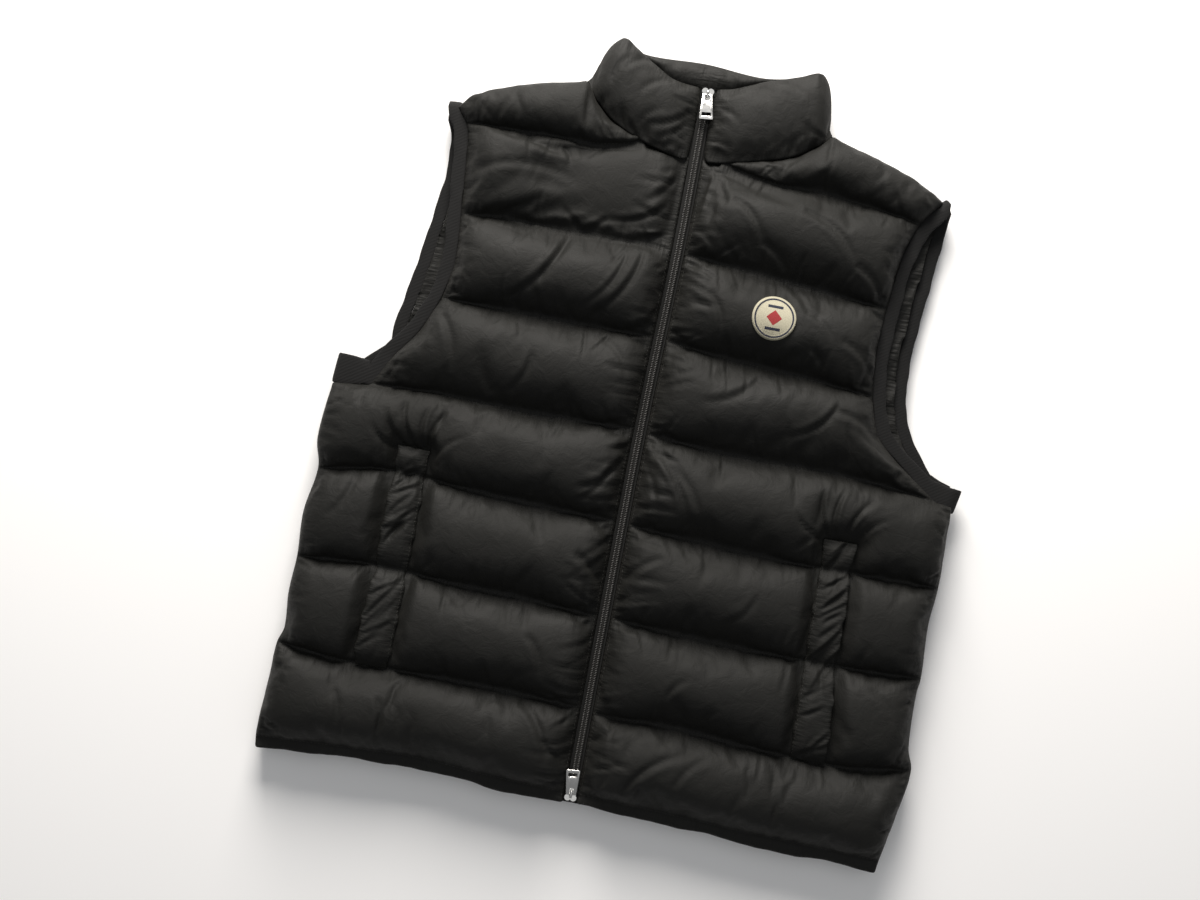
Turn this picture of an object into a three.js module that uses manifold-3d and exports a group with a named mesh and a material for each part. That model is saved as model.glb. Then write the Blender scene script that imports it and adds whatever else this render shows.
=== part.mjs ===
// A quilted down vest with a stand collar, zipped up and laid flat on a table, front up.
// Millimetres. +X runs to the wearer's left, +Y from the hem to the collar, +Z up from the table.
// Every table below is measured from the foot of the zip: y is the height on the garment and
// out is the distance from the middle, towards the side that the table belongs to.
// The finished group is moved so that its origin is on the table, under the middle of its box.

import * as THREE from 'three';
import { mergeVertices } from 'three/addons/utils/BufferGeometryUtils.js';
import Module from 'manifold-3d';

const wasm = await Module();
wasm.setup();

// Walls and gaps
const SEAM_GAP = 0.3;
const LAYER_GAP = 0.4;
const BACK_WALL = 20;
const BACK_EDGE = 9;
const BACK_ROUND = 24;
const FRONT_IN = BACK_WALL + LAYER_GAP;
const SEAM_WALL = 4.5;
const LOFT = 25;
const HEM_LOFT = 1.2;
const FULL_CHANNEL = 62;
const MERGE_TOLERANCE = 1e-4;

// How far the filling takes to reach its full height beside each edge
const ZIP_ROUND = 36;
const ZIP_SOFTNESS = 0.85;
const SIDE_ROUND = 27;
const ARMHOLE_ROUND = 24;

// Zip
const ZIP_FOOT = -1;
const ZIP_HEAD = 611;
const ZIP_HALF = 5.6;
const TAPE_WALL = 1;
const TAPE_Z = FRONT_IN + 2.2;
const COIL_HALF = 2.9;
const COIL_HEIGHT = 2;
const COIL_Z = TAPE_Z + TAPE_WALL + SEAM_GAP;
const ZIP_LINE = [
  { y: -20, x: -2 },
  { y: 150, x: -1.5 },
  { y: 330, x: 0 },
  { y: 480, x: 4 },
  { y: 620, x: 4 },
];

// Armhole binding
const BINDING_WIDTH = 11;
const BINDING_WALL = 2.6;
const BINDING_GAP = 1.4;
const BINDING_FRONT_Z = FRONT_IN + 3.4;
const BINDING_BACK_Z = 11.5;

// Pocket welts and badge
const WELT_EDGE = 2.4;
const WELT_LOFT = 4.2;
const WELT_SINK = 0.66;
const WELT_GAP = 0.6;
const BADGE_RADIUS = 18.5;
const BADGE_WALL = 1.6;
const BADGE_GAP = 0.5;
const BADGE = { x: 91, y: 429 };

// Collar
const COLLAR_GAP = 2;
const COLLAR_MID_Z = 20.2;
const COLLAR_LIFT = 0.8;
const COLLAR_EDGE = 0.24;
const COLLAR_FRONT_LOFT = 18;
const COLLAR_FOLD_LOFT = 12;
const COLLAR_BACK_LOFT = 26;

// Columns of the front's grid, as shares of its width. A seam row may pin some of them in place.
const COLUMNS = [
  0, 0.015, 0.04, 0.08, 0.13, 0.18, 0.23, 0.28, 0.33, 0.38, 0.43, 0.48, 0.53, 0.58, 0.63, 0.68,
  0.725, 0.77, 0.81, 0.85, 0.88, 0.9, 0.935, 0.965, 0.987, 1,
];
const WELT_FIRST = 14;
const WELT_LAST = 17;
const ARMHOLE_COLUMN = 21;
const LAST_COLUMN = COLUMNS.length - 1;
const CHANNEL_ROWS = [0, 0.05, 0.16, 0.32, 0.5, 0.68, 0.84, 0.95];
const HEM_ROWS = [0];
const WELT_TOP_ROW = 3;

// The wearer's right front and left front. A seam row gives the y of one quilting line at five
// even steps from where it starts to its outer end, and where it crosses the pocket welt.
const RIGHT = {
  name: 'right',
  side: -1,
  neckColumn: 5,
  cornerColumn: 10,
  yokeStart: 42,
  armpit: 231,
  seams: [
    { line: 'hem edge', y: [-3, -2, 3, 0, -3] },
    { line: 'hem stitching', y: [7, 9, 13, 10, 7] },
    { line: 'channel 7', y: [79, 82, 82.5, 82, 88], weltIn: 172, weltOut: 203 },
    { line: 'channel 6', y: [157, 161, 163, 166, 162], weltIn: 170.5, weltOut: 199 },
    { line: 'channel 5', y: [239, 240.5, 243, 247, 238], weltIn: 170, weltOut: 198 },
    { line: 'armpit', y: [318, 316, 316, 317, 311], weltIn: 169, weltOut: 196 },
    { line: 'channel 3', y: [397, 396.5, 396.5, 397, 397] },
    { line: 'channel 2', y: [471, 472, 472.5, 472.5, 470] },
    { line: 'yoke', y: [557, 549, 548.5, 547.5, 546] },
  ],
  side_edge: [
    { y: -3, out: 271.5 },
    { y: 10, out: 273 },
    { y: 60, out: 270.5 },
    { y: 87, out: 269.5 },
    { y: 100, out: 265.5 },
    { y: 130, out: 267.5 },
    { y: 162, out: 266 },
    { y: 200, out: 267.5 },
    { y: 238, out: 262 },
    { y: 262, out: 267 },
    { y: 311, out: 263 },
  ],
  armhole: [
    { y: 316, out: 231 },
    { y: 340, out: 217.5 },
    { y: 365, out: 200 },
    { y: 385, out: 190.5 },
    { y: 400, out: 185 },
    { y: 430, out: 180 },
    { y: 465, out: 182 },
    { y: 500, out: 185 },
    { y: 530, out: 188 },
    { y: 546, out: 192 },
    { y: 558, out: 202 },
  ],
  neck: [
    { out: 0, y: 550 },
    { out: 30, y: 555 },
    { out: 50, y: 560.5 },
    { out: 70, y: 570 },
    { out: 85, y: 583 },
    { out: 97, y: 599 },
  ],
  shoulder: [
    { out: 97, y: 599 },
    { out: 130, y: 592.5 },
    { out: 160, y: 583.5 },
    { out: 188, y: 571 },
    { out: 202, y: 558 },
  ],
  armpit_tip: { out: 256, y: 329 },
  shoulder_tip: { out: 205.5, y: 556 },
  back_armhole: [
    { y: 311, out: 251 },
    { y: 330, out: 232 },
    { y: 350, out: 213 },
    { y: 370, out: 211.5 },
    { y: 395, out: 206.5 },
    { y: 420, out: 202 },
    { y: 470, out: 195.5 },
    { y: 505, out: 191 },
    { y: 540, out: 194 },
    { y: 558, out: 202 },
  ],
  collar_corner: { out: 82, y: 638 },
  collar_top: [
    { out: 0, y: 611.5 },
    { out: 26, y: 614.5 },
    { out: 44, y: 624 },
    { out: 60, y: 634 },
    { out: 73, y: 641 },
    { out: 82, y: 638 },
  ],
};
const LEFT = {
  name: 'left',
  side: 1,
  neckColumn: 3,
  cornerColumn: 11,
  yokeStart: 26,
  armpit: 256,
  seams: [
    { line: 'hem edge', y: [-3, -5, -9, -11.5, -13] },
    { line: 'hem stitching', y: [7, 5, 2, 0, -2] },
    { line: 'channel 7', y: [76, 77, 72.5, 70, 78], weltIn: 172, weltOut: 204 },
    { line: 'channel 6', y: [158, 154.5, 153, 153, 155], weltIn: 169.5, weltOut: 197 },
    { line: 'channel 5', y: [237.5, 234.5, 231.5, 232, 233], weltIn: 168, weltOut: 195.5 },
    { line: 'armpit', y: [316, 311.5, 311, 310, 302], weltIn: 167, weltOut: 194 },
    { line: 'channel 3', y: [396, 391, 388, 385, 381] },
    { line: 'channel 2', y: [470, 466.5, 462.5, 459, 456] },
    { line: 'yoke', y: [552, 543.5, 542, 538, 531] },
  ],
  side_edge: [
    { y: -13, out: 262 },
    { y: 20, out: 268 },
    { y: 50, out: 273.5 },
    { y: 78, out: 277 },
    { y: 95, out: 271.5 },
    { y: 140, out: 269.5 },
    { y: 155, out: 271 },
    { y: 200, out: 269 },
    { y: 233, out: 271.5 },
    { y: 265, out: 271 },
    { y: 302, out: 270 },
  ],
  armhole: [
    { y: 304, out: 256 },
    { y: 322, out: 230 },
    { y: 341, out: 206 },
    { y: 352, out: 197 },
    { y: 381, out: 188 },
    { y: 420, out: 184 },
    { y: 456, out: 186 },
    { y: 500, out: 190.5 },
    { y: 531, out: 201 },
    { y: 553, out: 217 },
  ],
  neck: [
    { out: 0, y: 549.5 },
    { out: 26, y: 552.5 },
    { out: 60, y: 559.5 },
    { out: 85, y: 568 },
    { out: 103, y: 580 },
    { out: 114, y: 590 },
  ],
  shoulder: [
    { out: 114, y: 590 },
    { out: 150, y: 581 },
    { out: 185, y: 569.5 },
    { out: 205, y: 560 },
    { out: 217, y: 553 },
  ],
  armpit_tip: { out: 269, y: 314 },
  shoulder_tip: { out: 221, y: 549 },
  back_armhole: [
    { y: 302, out: 258 },
    { y: 320, out: 240 },
    { y: 345, out: 222 },
    { y: 368, out: 210.5 },
    { y: 405, out: 205 },
    { y: 470, out: 208.5 },
    { y: 515, out: 213 },
    { y: 553, out: 217 },
  ],
  collar_corner: { out: 105, y: 637 },
  collar_top: [
    { out: 0, y: 611.5 },
    { out: 24, y: 615.5 },
    { out: 50, y: 626 },
    { out: 78, y: 635.5 },
    { out: 94, y: 641 },
    { out: 105, y: 637 },
  ],
};

// The back's hem is the fronts' hem; its neck and the collar's back top edge run on x.
const BACK_NECK = [
  { x: -97, y: 599 },
  { x: -60, y: 590 },
  { x: 0, y: 585 },
  { x: 60, y: 583 },
  { x: 114, y: 590 },
];
const BACK_COLLAR_TOP = [
  { x: -73, y: 641 },
  { x: -56, y: 632 },
  { x: 0, y: 633 },
  { x: 46, y: 630 },
  { x: 72, y: 634 },
  { x: 96, y: 641 },
];

// The largest creases in the outer cloth: a soft trough from one end to the other.
const CREASES = [
  { x0: -12, y0: 522, x1: -72, y1: 481, depth: 5, width: 9 },
  { x0: -98, y0: 444, x1: -136, y1: 404, depth: 4.5, width: 8 },
  { x0: -36, y0: 452, x1: -62, y1: 404, depth: 4, width: 8 },
  { x0: -182, y0: 388, x1: -165, y1: 338, depth: 4, width: 8 },
  { x0: -12, y0: 306, x1: -44, y1: 262, depth: 5, width: 9 },
  { x0: -204, y0: 300, x1: -176, y1: 272, depth: 5, width: 9 },
  { x0: -36, y0: 212, x1: -8, y1: 172, depth: 5, width: 9 },
  { x0: -58, y0: 76, x1: -30, y1: 28, depth: 5, width: 8 },
  { x0: 42, y0: 526, x1: 92, y1: 478, depth: 5, width: 9 },
  { x0: 104, y0: 520, x1: 168, y1: 466, depth: 5, width: 9 },
  { x0: 104, y0: 456, x1: 128, y1: 434, depth: 3.5, width: 8 },
  { x0: 156, y0: 364, x1: 112, y1: 334, depth: 5, width: 8 },
  { x0: 160, y0: 362, x1: 198, y1: 344, depth: 5, width: 8 },
  { x0: 12, y0: 308, x1: 64, y1: 246, depth: 5, width: 9 },
  { x0: 8, y0: 184, x1: 44, y1: 212, depth: 5, width: 9 },
  { x0: 184, y0: 298, x1: 170, y1: 264, depth: 4, width: 8 },
  { x0: 30, y0: 100, x1: 72, y1: 124, depth: 4, width: 9 },
  { x0: 46, y0: 20, x1: 106, y1: 62, depth: 5, width: 9 },
];

// A smooth function through the rows of a table, from its column key to its column value.
function through(rows, key, value) {
  const row = [...rows].sort((a, b) => a[key] - b[key]);
  const steep = (i, j) => (row[j][value] - row[i][value]) / (row[j][key] - row[i][key]);
  const last = row.length - 1;
  const slopes = row.map((_, i) => steep(Math.max(0, i - 1), Math.min(last, i + 1)));
  return (at) => {
    const k = THREE.MathUtils.clamp(at, row[0][key], row[last][key]);
    let i = 0;
    while (i < last - 1 && k > row[i + 1][key]) i++;
    const span = row[i + 1][key] - row[i][key];
    const s = (k - row[i][key]) / span;
    const cube = s * s * (3 - 2 * s);
    return (
      row[i][value] * (1 - cube) +
      row[i + 1][value] * cube +
      span * s * (1 - s) * ((1 - s) * slopes[i] - s * slopes[i + 1])
    );
  };
}

const lerp = THREE.MathUtils.lerp;
const zipX = through(ZIP_LINE, 'y', 'x');
const zipEdge = (front, y) => front.side * zipX(y) + ZIP_HALF;

// How full the cloth is at a distance from an edge: a quarter round, or softer for 1.
function fullness(distance, round, softness = 0.5) {
  const s = THREE.MathUtils.clamp(distance / round, 0, 1);
  return (1 - (1 - s) * (1 - s)) ** softness;
}

// A channel's section between two quilting lines, 0 at each line and 1 in the middle.
function channelSection(t) {
  const roundness = 2.2;
  const off = Math.abs(2 * THREE.MathUtils.clamp(t, 0, 1) - 1);
  return Math.pow(1 - Math.pow(off, roundness), 1 / roundness);
}

function creaseDepth(x, y) {
  let deepest = 0;
  for (const c of CREASES) {
    const along = new THREE.Vector2(c.x1 - c.x0, c.y1 - c.y0);
    const from = new THREE.Vector2(x - c.x0, y - c.y0);
    const s = from.dot(along) / along.lengthSq();
    if (s < 0 || s > 1) continue;
    const off = Math.abs(from.cross(along)) / along.length();
    const taper = Math.sin(Math.PI * s);
    deepest = Math.max(deepest, c.depth * taper * Math.exp(-((off / c.width) ** 2)));
  }
  return deepest;
}

// Gives a front its curves: functions of y or of out, made from its tables.
function withCurves(front) {
  const sideOut = through(front.side_edge, 'y', 'out');
  const armholeOut = through(front.armhole, 'y', 'out');
  const neckY = through(front.neck, 'out', 'y');
  const shoulderY = through(front.shoulder, 'out', 'y');
  const corner = front.neck.at(-1).out;
  const topY = (out) => (out <= corner ? neckY(out) : shoulderY(out));
  const yoke = front.seams.length - 1;
  const armpitSeam = front.seams.findIndex((s) => s.line === 'armpit');
  const lines = front.seams.map((seam, k) => {
    const start = k === yoke ? front.yokeStart : zipEdge(front, seam.y[0]);
    const endY = seam.y.at(-1);
    const end = k <= armpitSeam ? sideOut(endY) : armholeOut(endY);
    const steps = seam.y.map((y, i) => ({ out: lerp(start, end, i / 4), y }));
    return { start, end, yAt: through(steps, 'out', 'y') };
  });
  return { ...front, sideOut, armholeOut, neckY, shoulderY, topY, corner, yoke, armpitSeam, lines };
}

// Places the grid's columns on one seam row. Pins are pairs of a column and its place.
function spread(pins, columns) {
  const rows = pins.map(([column, out]) => ({ share: COLUMNS[column], out }));
  return columns.map((i) => {
    let k = 0;
    while (k < rows.length - 2 && COLUMNS[i] > rows[k + 1].share) k++;
    const s = (COLUMNS[i] - rows[k].share) / (rows[k + 1].share - rows[k].share);
    return lerp(rows[k].out, rows[k + 1].out, s);
  });
}

const range = (first, last) => Array.from({ length: last - first + 1 }, (_, i) => first + i);

// The points of quilting line k, as a map from column to { out, y }.
function seamRow(front, k) {
  const seam = front.seams[k];
  const { start, end, yAt } = front.lines[k];
  const above = k > front.armpitSeam;
  const lastColumn = above ? ARMHOLE_COLUMN : LAST_COLUMN;
  const pins = [[0, zipEdge(front, seam.y[0])]];
  if (k === front.yoke) pins.push([front.neckColumn, start]);
  if (seam.weltIn) pins.push([WELT_FIRST, seam.weltIn], [WELT_LAST, seam.weltOut]);
  if (k === front.armpitSeam) pins.push([ARMHOLE_COLUMN, front.armpit]);
  pins.push([lastColumn, end]);
  const row = new Map();
  spread(pins, range(0, lastColumn)).forEach((out, i) => {
    const onNeck = k === front.yoke && i <= front.neckColumn;
    row.set(i, { out, y: onNeck ? front.neckY(out) : yAt(out) });
  });
  return row;
}

// The yoke's top row, along the neck and the shoulder.
function topRow(front) {
  const pins = [
    [front.neckColumn, front.yokeStart],
    [front.cornerColumn, front.corner],
    [ARMHOLE_COLUMN, front.shoulder.at(-1).out],
  ];
  const columns = range(front.neckColumn, ARMHOLE_COLUMN);
  const row = new Map();
  spread(pins, columns).forEach((out, i) => row.set(columns[i], { out, y: front.topY(out) }));
  return row;
}

// How deep a point lies in the groove under the pocket welt, from 0 to 1.
function weltGroove(front, out, y) {
  const seams = front.seams.filter((s) => s.weltIn);
  const rows = seams.map((s) => ({ y: s.y[3], weltIn: s.weltIn, weltOut: s.weltOut }));
  const inside = through(rows, 'y', 'weltIn')(y);
  const outside = through(rows, 'y', 'weltOut')(y);
  const top = lerp(rows[2].y, rows[3].y, CHANNEL_ROWS[WELT_TOP_ROW]);
  const sideRamp = 27;
  const topRamp = 20;
  const off = Math.max(inside - out, out - outside, 0) / sideRamp;
  const over = Math.max(y - top, 0) / topRamp;
  const under = Math.max(rows[0].y - y, 0) / topRamp;
  const reach = Math.hypot(off, over, under);
  return reach >= 1 ? 0 : (1 - reach * reach) ** 2;
}

// Height of the front's outer cloth above its plain inside.
function frontHeight(front, out, y) {
  const inYoke = out > front.yokeStart && y >= front.lines[front.yoke].yAt(out) - MERGE_TOLERANCE;
  let k = 0;
  while (k < front.yoke - 1 && y >= front.lines[k + 1].yAt(out) - MERGE_TOLERANCE) k++;
  if (inYoke) k = front.yoke;
  const low = front.lines[k].yAt(out);
  const upper = k + 1 === front.yoke && out < front.yokeStart ? front.neckY : null;
  const high = k === front.yoke ? front.topY(out) : (upper ?? front.lines[k + 1].yAt)(out);
  const channel = Math.max(high - low, MERGE_TOLERANCE);
  const edge = k < front.armpitSeam ? front.sideOut(y) : front.armholeOut(y);
  const round = k < front.armpitSeam ? SIDE_ROUND : ARMHOLE_ROUND;
  const loft = k === 0 ? HEM_LOFT : LOFT * Math.min(1, channel / FULL_CHANNEL) ** 0.6;
  const full =
    channelSection((y - low) / channel) *
    fullness(out - zipEdge(front, y), ZIP_ROUND, ZIP_SOFTNESS) *
    fullness(edge - out, round);
  const puff = loft * full * (1 - WELT_SINK * weltGroove(front, out, y));
  const crease = Math.min(creaseDepth(front.side * out, y), puff * 0.6);
  return SEAM_WALL + puff - crease;
}

// Collects points and triangles, and makes them one indexed geometry.
class Skin {
  points = [];
  faces = [];
  add(x, y, z) {
    return this.points.push(new THREE.Vector3(x, y, z)) - 1;
  }
  quad(a, b, c, d) {
    this.faces.push([a, b, c], [a, c, d]);
  }
  geometry() {
    const g = new THREE.BufferGeometry();
    g.setAttribute('position', new THREE.Float32BufferAttribute(this.points.flatMap((p) => [...p]), 3));
    g.setIndex(this.faces.flat());
    const merged = mergeVertices(g, MERGE_TOLERANCE);
    const index = merged.index.array;
    const kept = [];
    for (let i = 0; i < index.length; i += 3) {
      const [a, b, c] = [index[i], index[i + 1], index[i + 2]];
      if (a !== b && b !== c && c !== a) kept.push(a, b, c);
    }
    merged.setIndex(kept);
    merged.computeVertexNormals();
    return merged;
  }
}

// The edge of an open skin, as a loop of point numbers in the order of its faces.
function rim(skin) {
  const key = (p) => [p.x, p.y, p.z].map((v) => Math.round(v / MERGE_TOLERANCE / 10)).join(' ');
  const first = new Map();
  const same = skin.points.map((p, i) => {
    if (!first.has(key(p))) first.set(key(p), i);
    return first.get(key(p));
  });
  const edges = new Map();
  for (const face of skin.faces) {
    const f = face.map((i) => same[i]);
    if (new Set(f).size < 3) continue;
    f.forEach((a, i) => edges.set(`${a} ${f[(i + 1) % 3]}`, [a, f[(i + 1) % 3]]));
  }
  const next = new Map();
  for (const [a, b] of edges.values()) if (!edges.has(`${b} ${a}`)) next.set(a, b);
  const loop = [next.keys().next().value];
  while (next.get(loop.at(-1)) !== loop[0]) loop.push(next.get(loop.at(-1)));
  return loop;
}

// Closes an open skin down, or up, to a plain inside at height z.
function closeTo(skin, z) {
  const loop = rim(skin);
  const inner = loop.map((i) => skin.add(skin.points[i].x, skin.points[i].y, z));
  loop.forEach((a, i) => {
    const j = (i + 1) % loop.length;
    skin.quad(a, inner[i], inner[j], loop[j]);
  });
  const outline = loop.map((i) => new THREE.Vector2(skin.points[i].x, skin.points[i].y));
  const triangles = THREE.ShapeUtils.triangulateShape(outline, []);
  const area = (face) => THREE.ShapeUtils.area(face.map((i) => outline[i]));
  const covered = triangles.reduce((sum, face) => sum + area(face), 0);
  const sameWay = covered > 0 === THREE.ShapeUtils.area(outline) > 0;
  for (const [a, b, c] of triangles) {
    const face = sameWay ? [a, b, c] : [c, b, a];
    skin.faces.push(face.map((i) => inner[i]).reverse());
  }
  return skin.geometry();
}

// The front's grid, as rows of { out, y } by column, with the columns that the strip above each
// row uses. Strip k lies between quilting lines k and k + 1.
function frontRows(front) {
  const seams = front.seams.map((_, k) => seamRow(front, k));
  seams.push(topRow(front));
  const rows = [];
  for (let k = 0; k <= front.yoke; k++) {
    const first = k === front.yoke ? front.neckColumn : 0;
    const last = k < front.armpitSeam ? LAST_COLUMN : ARMHOLE_COLUMN;
    const edgeOut = k < front.armpitSeam ? front.sideOut : front.armholeOut;
    for (const t of k === 0 ? HEM_ROWS : CHANNEL_ROWS) {
      const row = new Map();
      for (const [i, low] of seams[k]) {
        const high = seams[k + 1].get(i);
        const plain = t === 0 || !high || i > last || i < first;
        if (plain && t > 0) continue;
        row.set(i, plain ? low : { out: lerp(low.out, high.out, t), y: lerp(low.y, high.y, t) });
      }
      if (t > 0) {
        const end = row.get(last);
        const shift = edgeOut(end.y) - end.out;
        for (const [i, p] of row) p.out += shift * ((i - first) / (last - first)) ** 3;
      }
      rows.push({ strip: k, t, first, last, at: row });
    }
  }
  rows.push({ strip: front.yoke + 1, t: 0, at: seams.at(-1) });
  return rows;
}

function frontPanel(front) {
  const skin = new Skin();
  const rows = frontRows(front);
  const index = rows.map((row) => {
    const ids = new Map();
    for (const [i, p] of row.at) {
      const z = FRONT_IN + frontHeight(front, p.out, p.y);
      ids.set(i, skin.add(front.side * p.out, p.y, z));
    }
    return ids;
  });
  for (let r = 0; r + 1 < rows.length; r++) {
    for (let i = rows[r].first; i < rows[r].last; i++) {
      const corners = [index[r].get(i), index[r].get(i + 1), index[r + 1].get(i + 1), index[r + 1].get(i)];
      if (front.side > 0) skin.quad(...corners);
      else skin.quad(...corners.reverse());
    }
  }
  return closeTo(skin, FRONT_IN);
}

// A pocket welt: the front's own points under it, moved out twice.
function weltPanel(front) {
  const skin = new Skin();
  const rows = frontRows(front).filter((row) => {
    const top = row.strip === 4 && row.t <= CHANNEL_ROWS[WELT_TOP_ROW];
    return row.strip === 2 || row.strip === 3 || top;
  });
  const across = [0, 1, 1, 0];
  const layer = (lift) =>
    rows.map((row, r) =>
      range(WELT_FIRST, WELT_LAST).map((i, c) => {
        const p = row.at.get(i);
        const z = FRONT_IN + frontHeight(front, p.out, p.y) + WELT_GAP;
        const end = r === 0 || r === rows.length - 1;
        const pinch = end ? 0 : channelSection(row.strip === 4 ? row.t + 0.3 : row.t) * 0.6 + 0.4;
        const padding = WELT_EDGE + WELT_LOFT * across[c] * pinch;
        return skin.add(front.side * p.out, p.y, z + (lift ? padding : 0));
      }),
    );
  const sheets = [layer(false), layer(true)];
  const flip = front.side < 0;
  const quad = (...corners) => skin.quad(...(flip ? corners.reverse() : corners));
  const [under, over] = sheets;
  for (let r = 0; r + 1 < rows.length; r++) {
    for (let c = 0; c + 1 < across.length; c++) {
      quad(over[r][c], over[r][c + 1], over[r + 1][c + 1], over[r + 1][c]);
      quad(under[r][c], under[r + 1][c], under[r + 1][c + 1], under[r][c + 1]);
    }
    quad(under[r][0], over[r][0], over[r + 1][0], under[r + 1][0]);
    quad(under[r][3], under[r + 1][3], over[r + 1][3], over[r][3]);
  }
  for (let c = 0; c + 1 < across.length; c++) {
    const e = rows.length - 1;
    quad(under[0][c], under[0][c + 1], over[0][c + 1], over[0][c]);
    quad(under[e][c], over[e][c], over[e][c + 1], under[e][c + 1]);
  }
  return skin.geometry();
}

// The chest badge: a thin disc that follows the cloth under it.
function badgeDisc(front) {
  const skin = new Skin();
  const spokes = 28;
  const rings = [0, 0.35, 0.7, 1];
  const place = (share, spoke, lift) => {
    const turn = (spoke / spokes) * 2 * Math.PI;
    const x = BADGE.x + BADGE_RADIUS * share * Math.cos(turn);
    const y = BADGE.y + BADGE_RADIUS * share * Math.sin(turn);
    return skin.add(x, y, FRONT_IN + frontHeight(front, front.side * x, y) + BADGE_GAP + lift);
  };
  const layer = (lift) => rings.map((share) => range(0, spokes - 1).map((s) => place(share, s, lift)));
  const under = layer(0);
  const over = layer(BADGE_WALL);
  for (let s = 0; s < spokes; s++) {
    const n = (s + 1) % spokes;
    for (let r = 0; r + 1 < rings.length; r++) {
      skin.quad(over[r][s], over[r + 1][s], over[r + 1][n], over[r][n]);
      skin.quad(under[r][s], under[r][n], under[r + 1][n], under[r + 1][s]);
    }
    skin.quad(under.at(-1)[s], under.at(-1)[n], over.at(-1)[n], over.at(-1)[s]);
  }
  return skin.geometry();
}

// The back: one padded wall, plain inside, with an underside that is flat where it rests.
function backPanel(right, left) {
  const columns = [
    0, 0.008, 0.022, 0.042, 0.07, 0.12, 0.18, 0.25, 0.32, 0.39, 0.46, 0.54, 0.61, 0.68, 0.75, 0.82,
    0.88, 0.93, 0.958, 0.978, 0.992, 1,
  ];
  const last = columns.length - 1;
  const hemY = (x) => (x < 0 ? right.lines[0].yAt(-x) : left.lines[0].yAt(x));
  const hemRows = [0, 0.014, 0.035, 0.06, 0.09];
  const edgeRows = [...hemRows, 0.2, 0.275, 0.34, 0.44, 0.525, 0.6, 0.7, 0.77, 0.84, 0.93];
  const sideRows = edgeRows.map((t) => {
    const at = (front) => {
      const y = lerp(front.seams[0].y[4], front.seams[front.armpitSeam].y[4], t);
      return new THREE.Vector2(front.side * front.sideOut(y), y);
    };
    const [a, b] = [at(right), at(left)];
    return columns.map((f) => {
      const x = lerp(a.x, b.x, f);
      const hem = hemY(x);
      const armpitY = lerp(right.seams[right.armpitSeam].y[4], left.seams[left.armpitSeam].y[4], f);
      return new THREE.Vector2(x, lerp(hem, armpitY, t));
    });
  });
  const armpitEnds = [right, left].map((front) => {
    const y = front.seams[front.armpitSeam].y[4];
    const outs = [front.sideOut(y), front.back_armhole[0].out];
    return outs.map((out) => new THREE.Vector2(front.side * out, y));
  });
  const [[sideR, startR], [sideL, startL]] = armpitEnds;
  const inner = (f) => (f - columns[1]) / (columns[last - 1] - columns[1]);
  const armpitRow = columns.map((f, i) => {
    if (i === 0) return sideR;
    return i === last ? sideL : startR.clone().lerp(startL, inner(f));
  });
  const backOut = [right, left].map((front) => through(front.back_armhole, 'y', 'out'));
  const backNeckY = through(BACK_NECK, 'x', 'y');
  const topAt = (f) => {
    const xR = -right.shoulder.at(-1).out;
    const xL = left.shoulder.at(-1).out;
    const pins = [
      { f: 0, x: xR },
      { f: inner(columns[7]), x: -right.corner },
      { f: inner(columns[14]), x: left.corner },
      { f: 1, x: xL },
    ];
    let k = 0;
    while (k < 2 && f > pins[k + 1].f) k++;
    const x = lerp(pins[k].x, pins[k + 1].x, (f - pins[k].f) / (pins[k + 1].f - pins[k].f));
    if (x <= -right.corner) return new THREE.Vector2(x, right.shoulderY(-x));
    return new THREE.Vector2(x, x < left.corner ? backNeckY(x) : left.shoulderY(x));
  };
  const armholeRows = [0.08, 0.16, 0.24, 0.34, 0.48, 0.62, 0.76, 0.88, 0.94, 0.975, 1];
  const upperRows = armholeRows.map((t) =>
    columns.map((f, i) => {
      if (i === 0 || i === last) return null;
      const ends = [right, left].map((front, s) => {
        const y = lerp(front.back_armhole[0].y, front.back_armhole.at(-1).y, t);
        return new THREE.Vector2(front.side * backOut[s](y), y);
      });
      const share = inner(f);
      const across = ends[0].lerp(ends[1], share);
      const top = topAt(share);
      const base = startR.clone().lerp(startL, share);
      const pull = t * t;
      across.x += (top.x - lerp(-right.shoulder.at(-1).out, left.shoulder.at(-1).out, share)) * pull;
      across.y = lerp(base.y, top.y, t);
      if (i === 1 || i === last - 1) {
        const front = i === 1 ? right : left;
        across.x = front.side * backOut[i === 1 ? 0 : 1](across.y);
      }
      return across;
    }),
  );
  const rows = [...sideRows, armpitRow, ...upperRows];
  const outline = [
    ...rows[0],
    ...sideRows.slice(1).map((row) => row[last]),
    sideL,
    startL,
    ...upperRows.map((row) => row[last - 1]),
    ...upperRows.at(-1).slice(1, last - 1).reverse(),
    ...upperRows.map((row) => row[1]).reverse(),
    startR,
    sideR,
    ...sideRows.slice(1).map((row) => row[0]).reverse(),
  ];
  const edges = outline.map((p, i) => new THREE.Line3(flat(p), flat(outline[(i + 1) % outline.length])));
  const nearest = new THREE.Vector3();
  const toEdge = (p) =>
    Math.min(...edges.map((e) => e.closestPointToPoint(flat(p), true, nearest).distanceTo(flat(p))));
  const rise = (p) => {
    const full = fullness(toEdge(p), BACK_ROUND);
    return (BACK_WALL - BACK_EDGE) * (1 - full);
  };
  const skin = new Skin();
  const ids = rows.map((row) => row.map((p) => (p ? skin.add(p.x, p.y, rise(p)) : null)));
  for (let r = 0; r + 1 < ids.length; r++) {
    for (let i = 0; i < last; i++) {
      const corners = [ids[r][i], ids[r + 1][i], ids[r + 1][i + 1], ids[r][i + 1]];
      if (corners.every((id) => id !== null)) skin.quad(...corners);
    }
  }
  return closeTo(skin, BACK_WALL);
}

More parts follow.
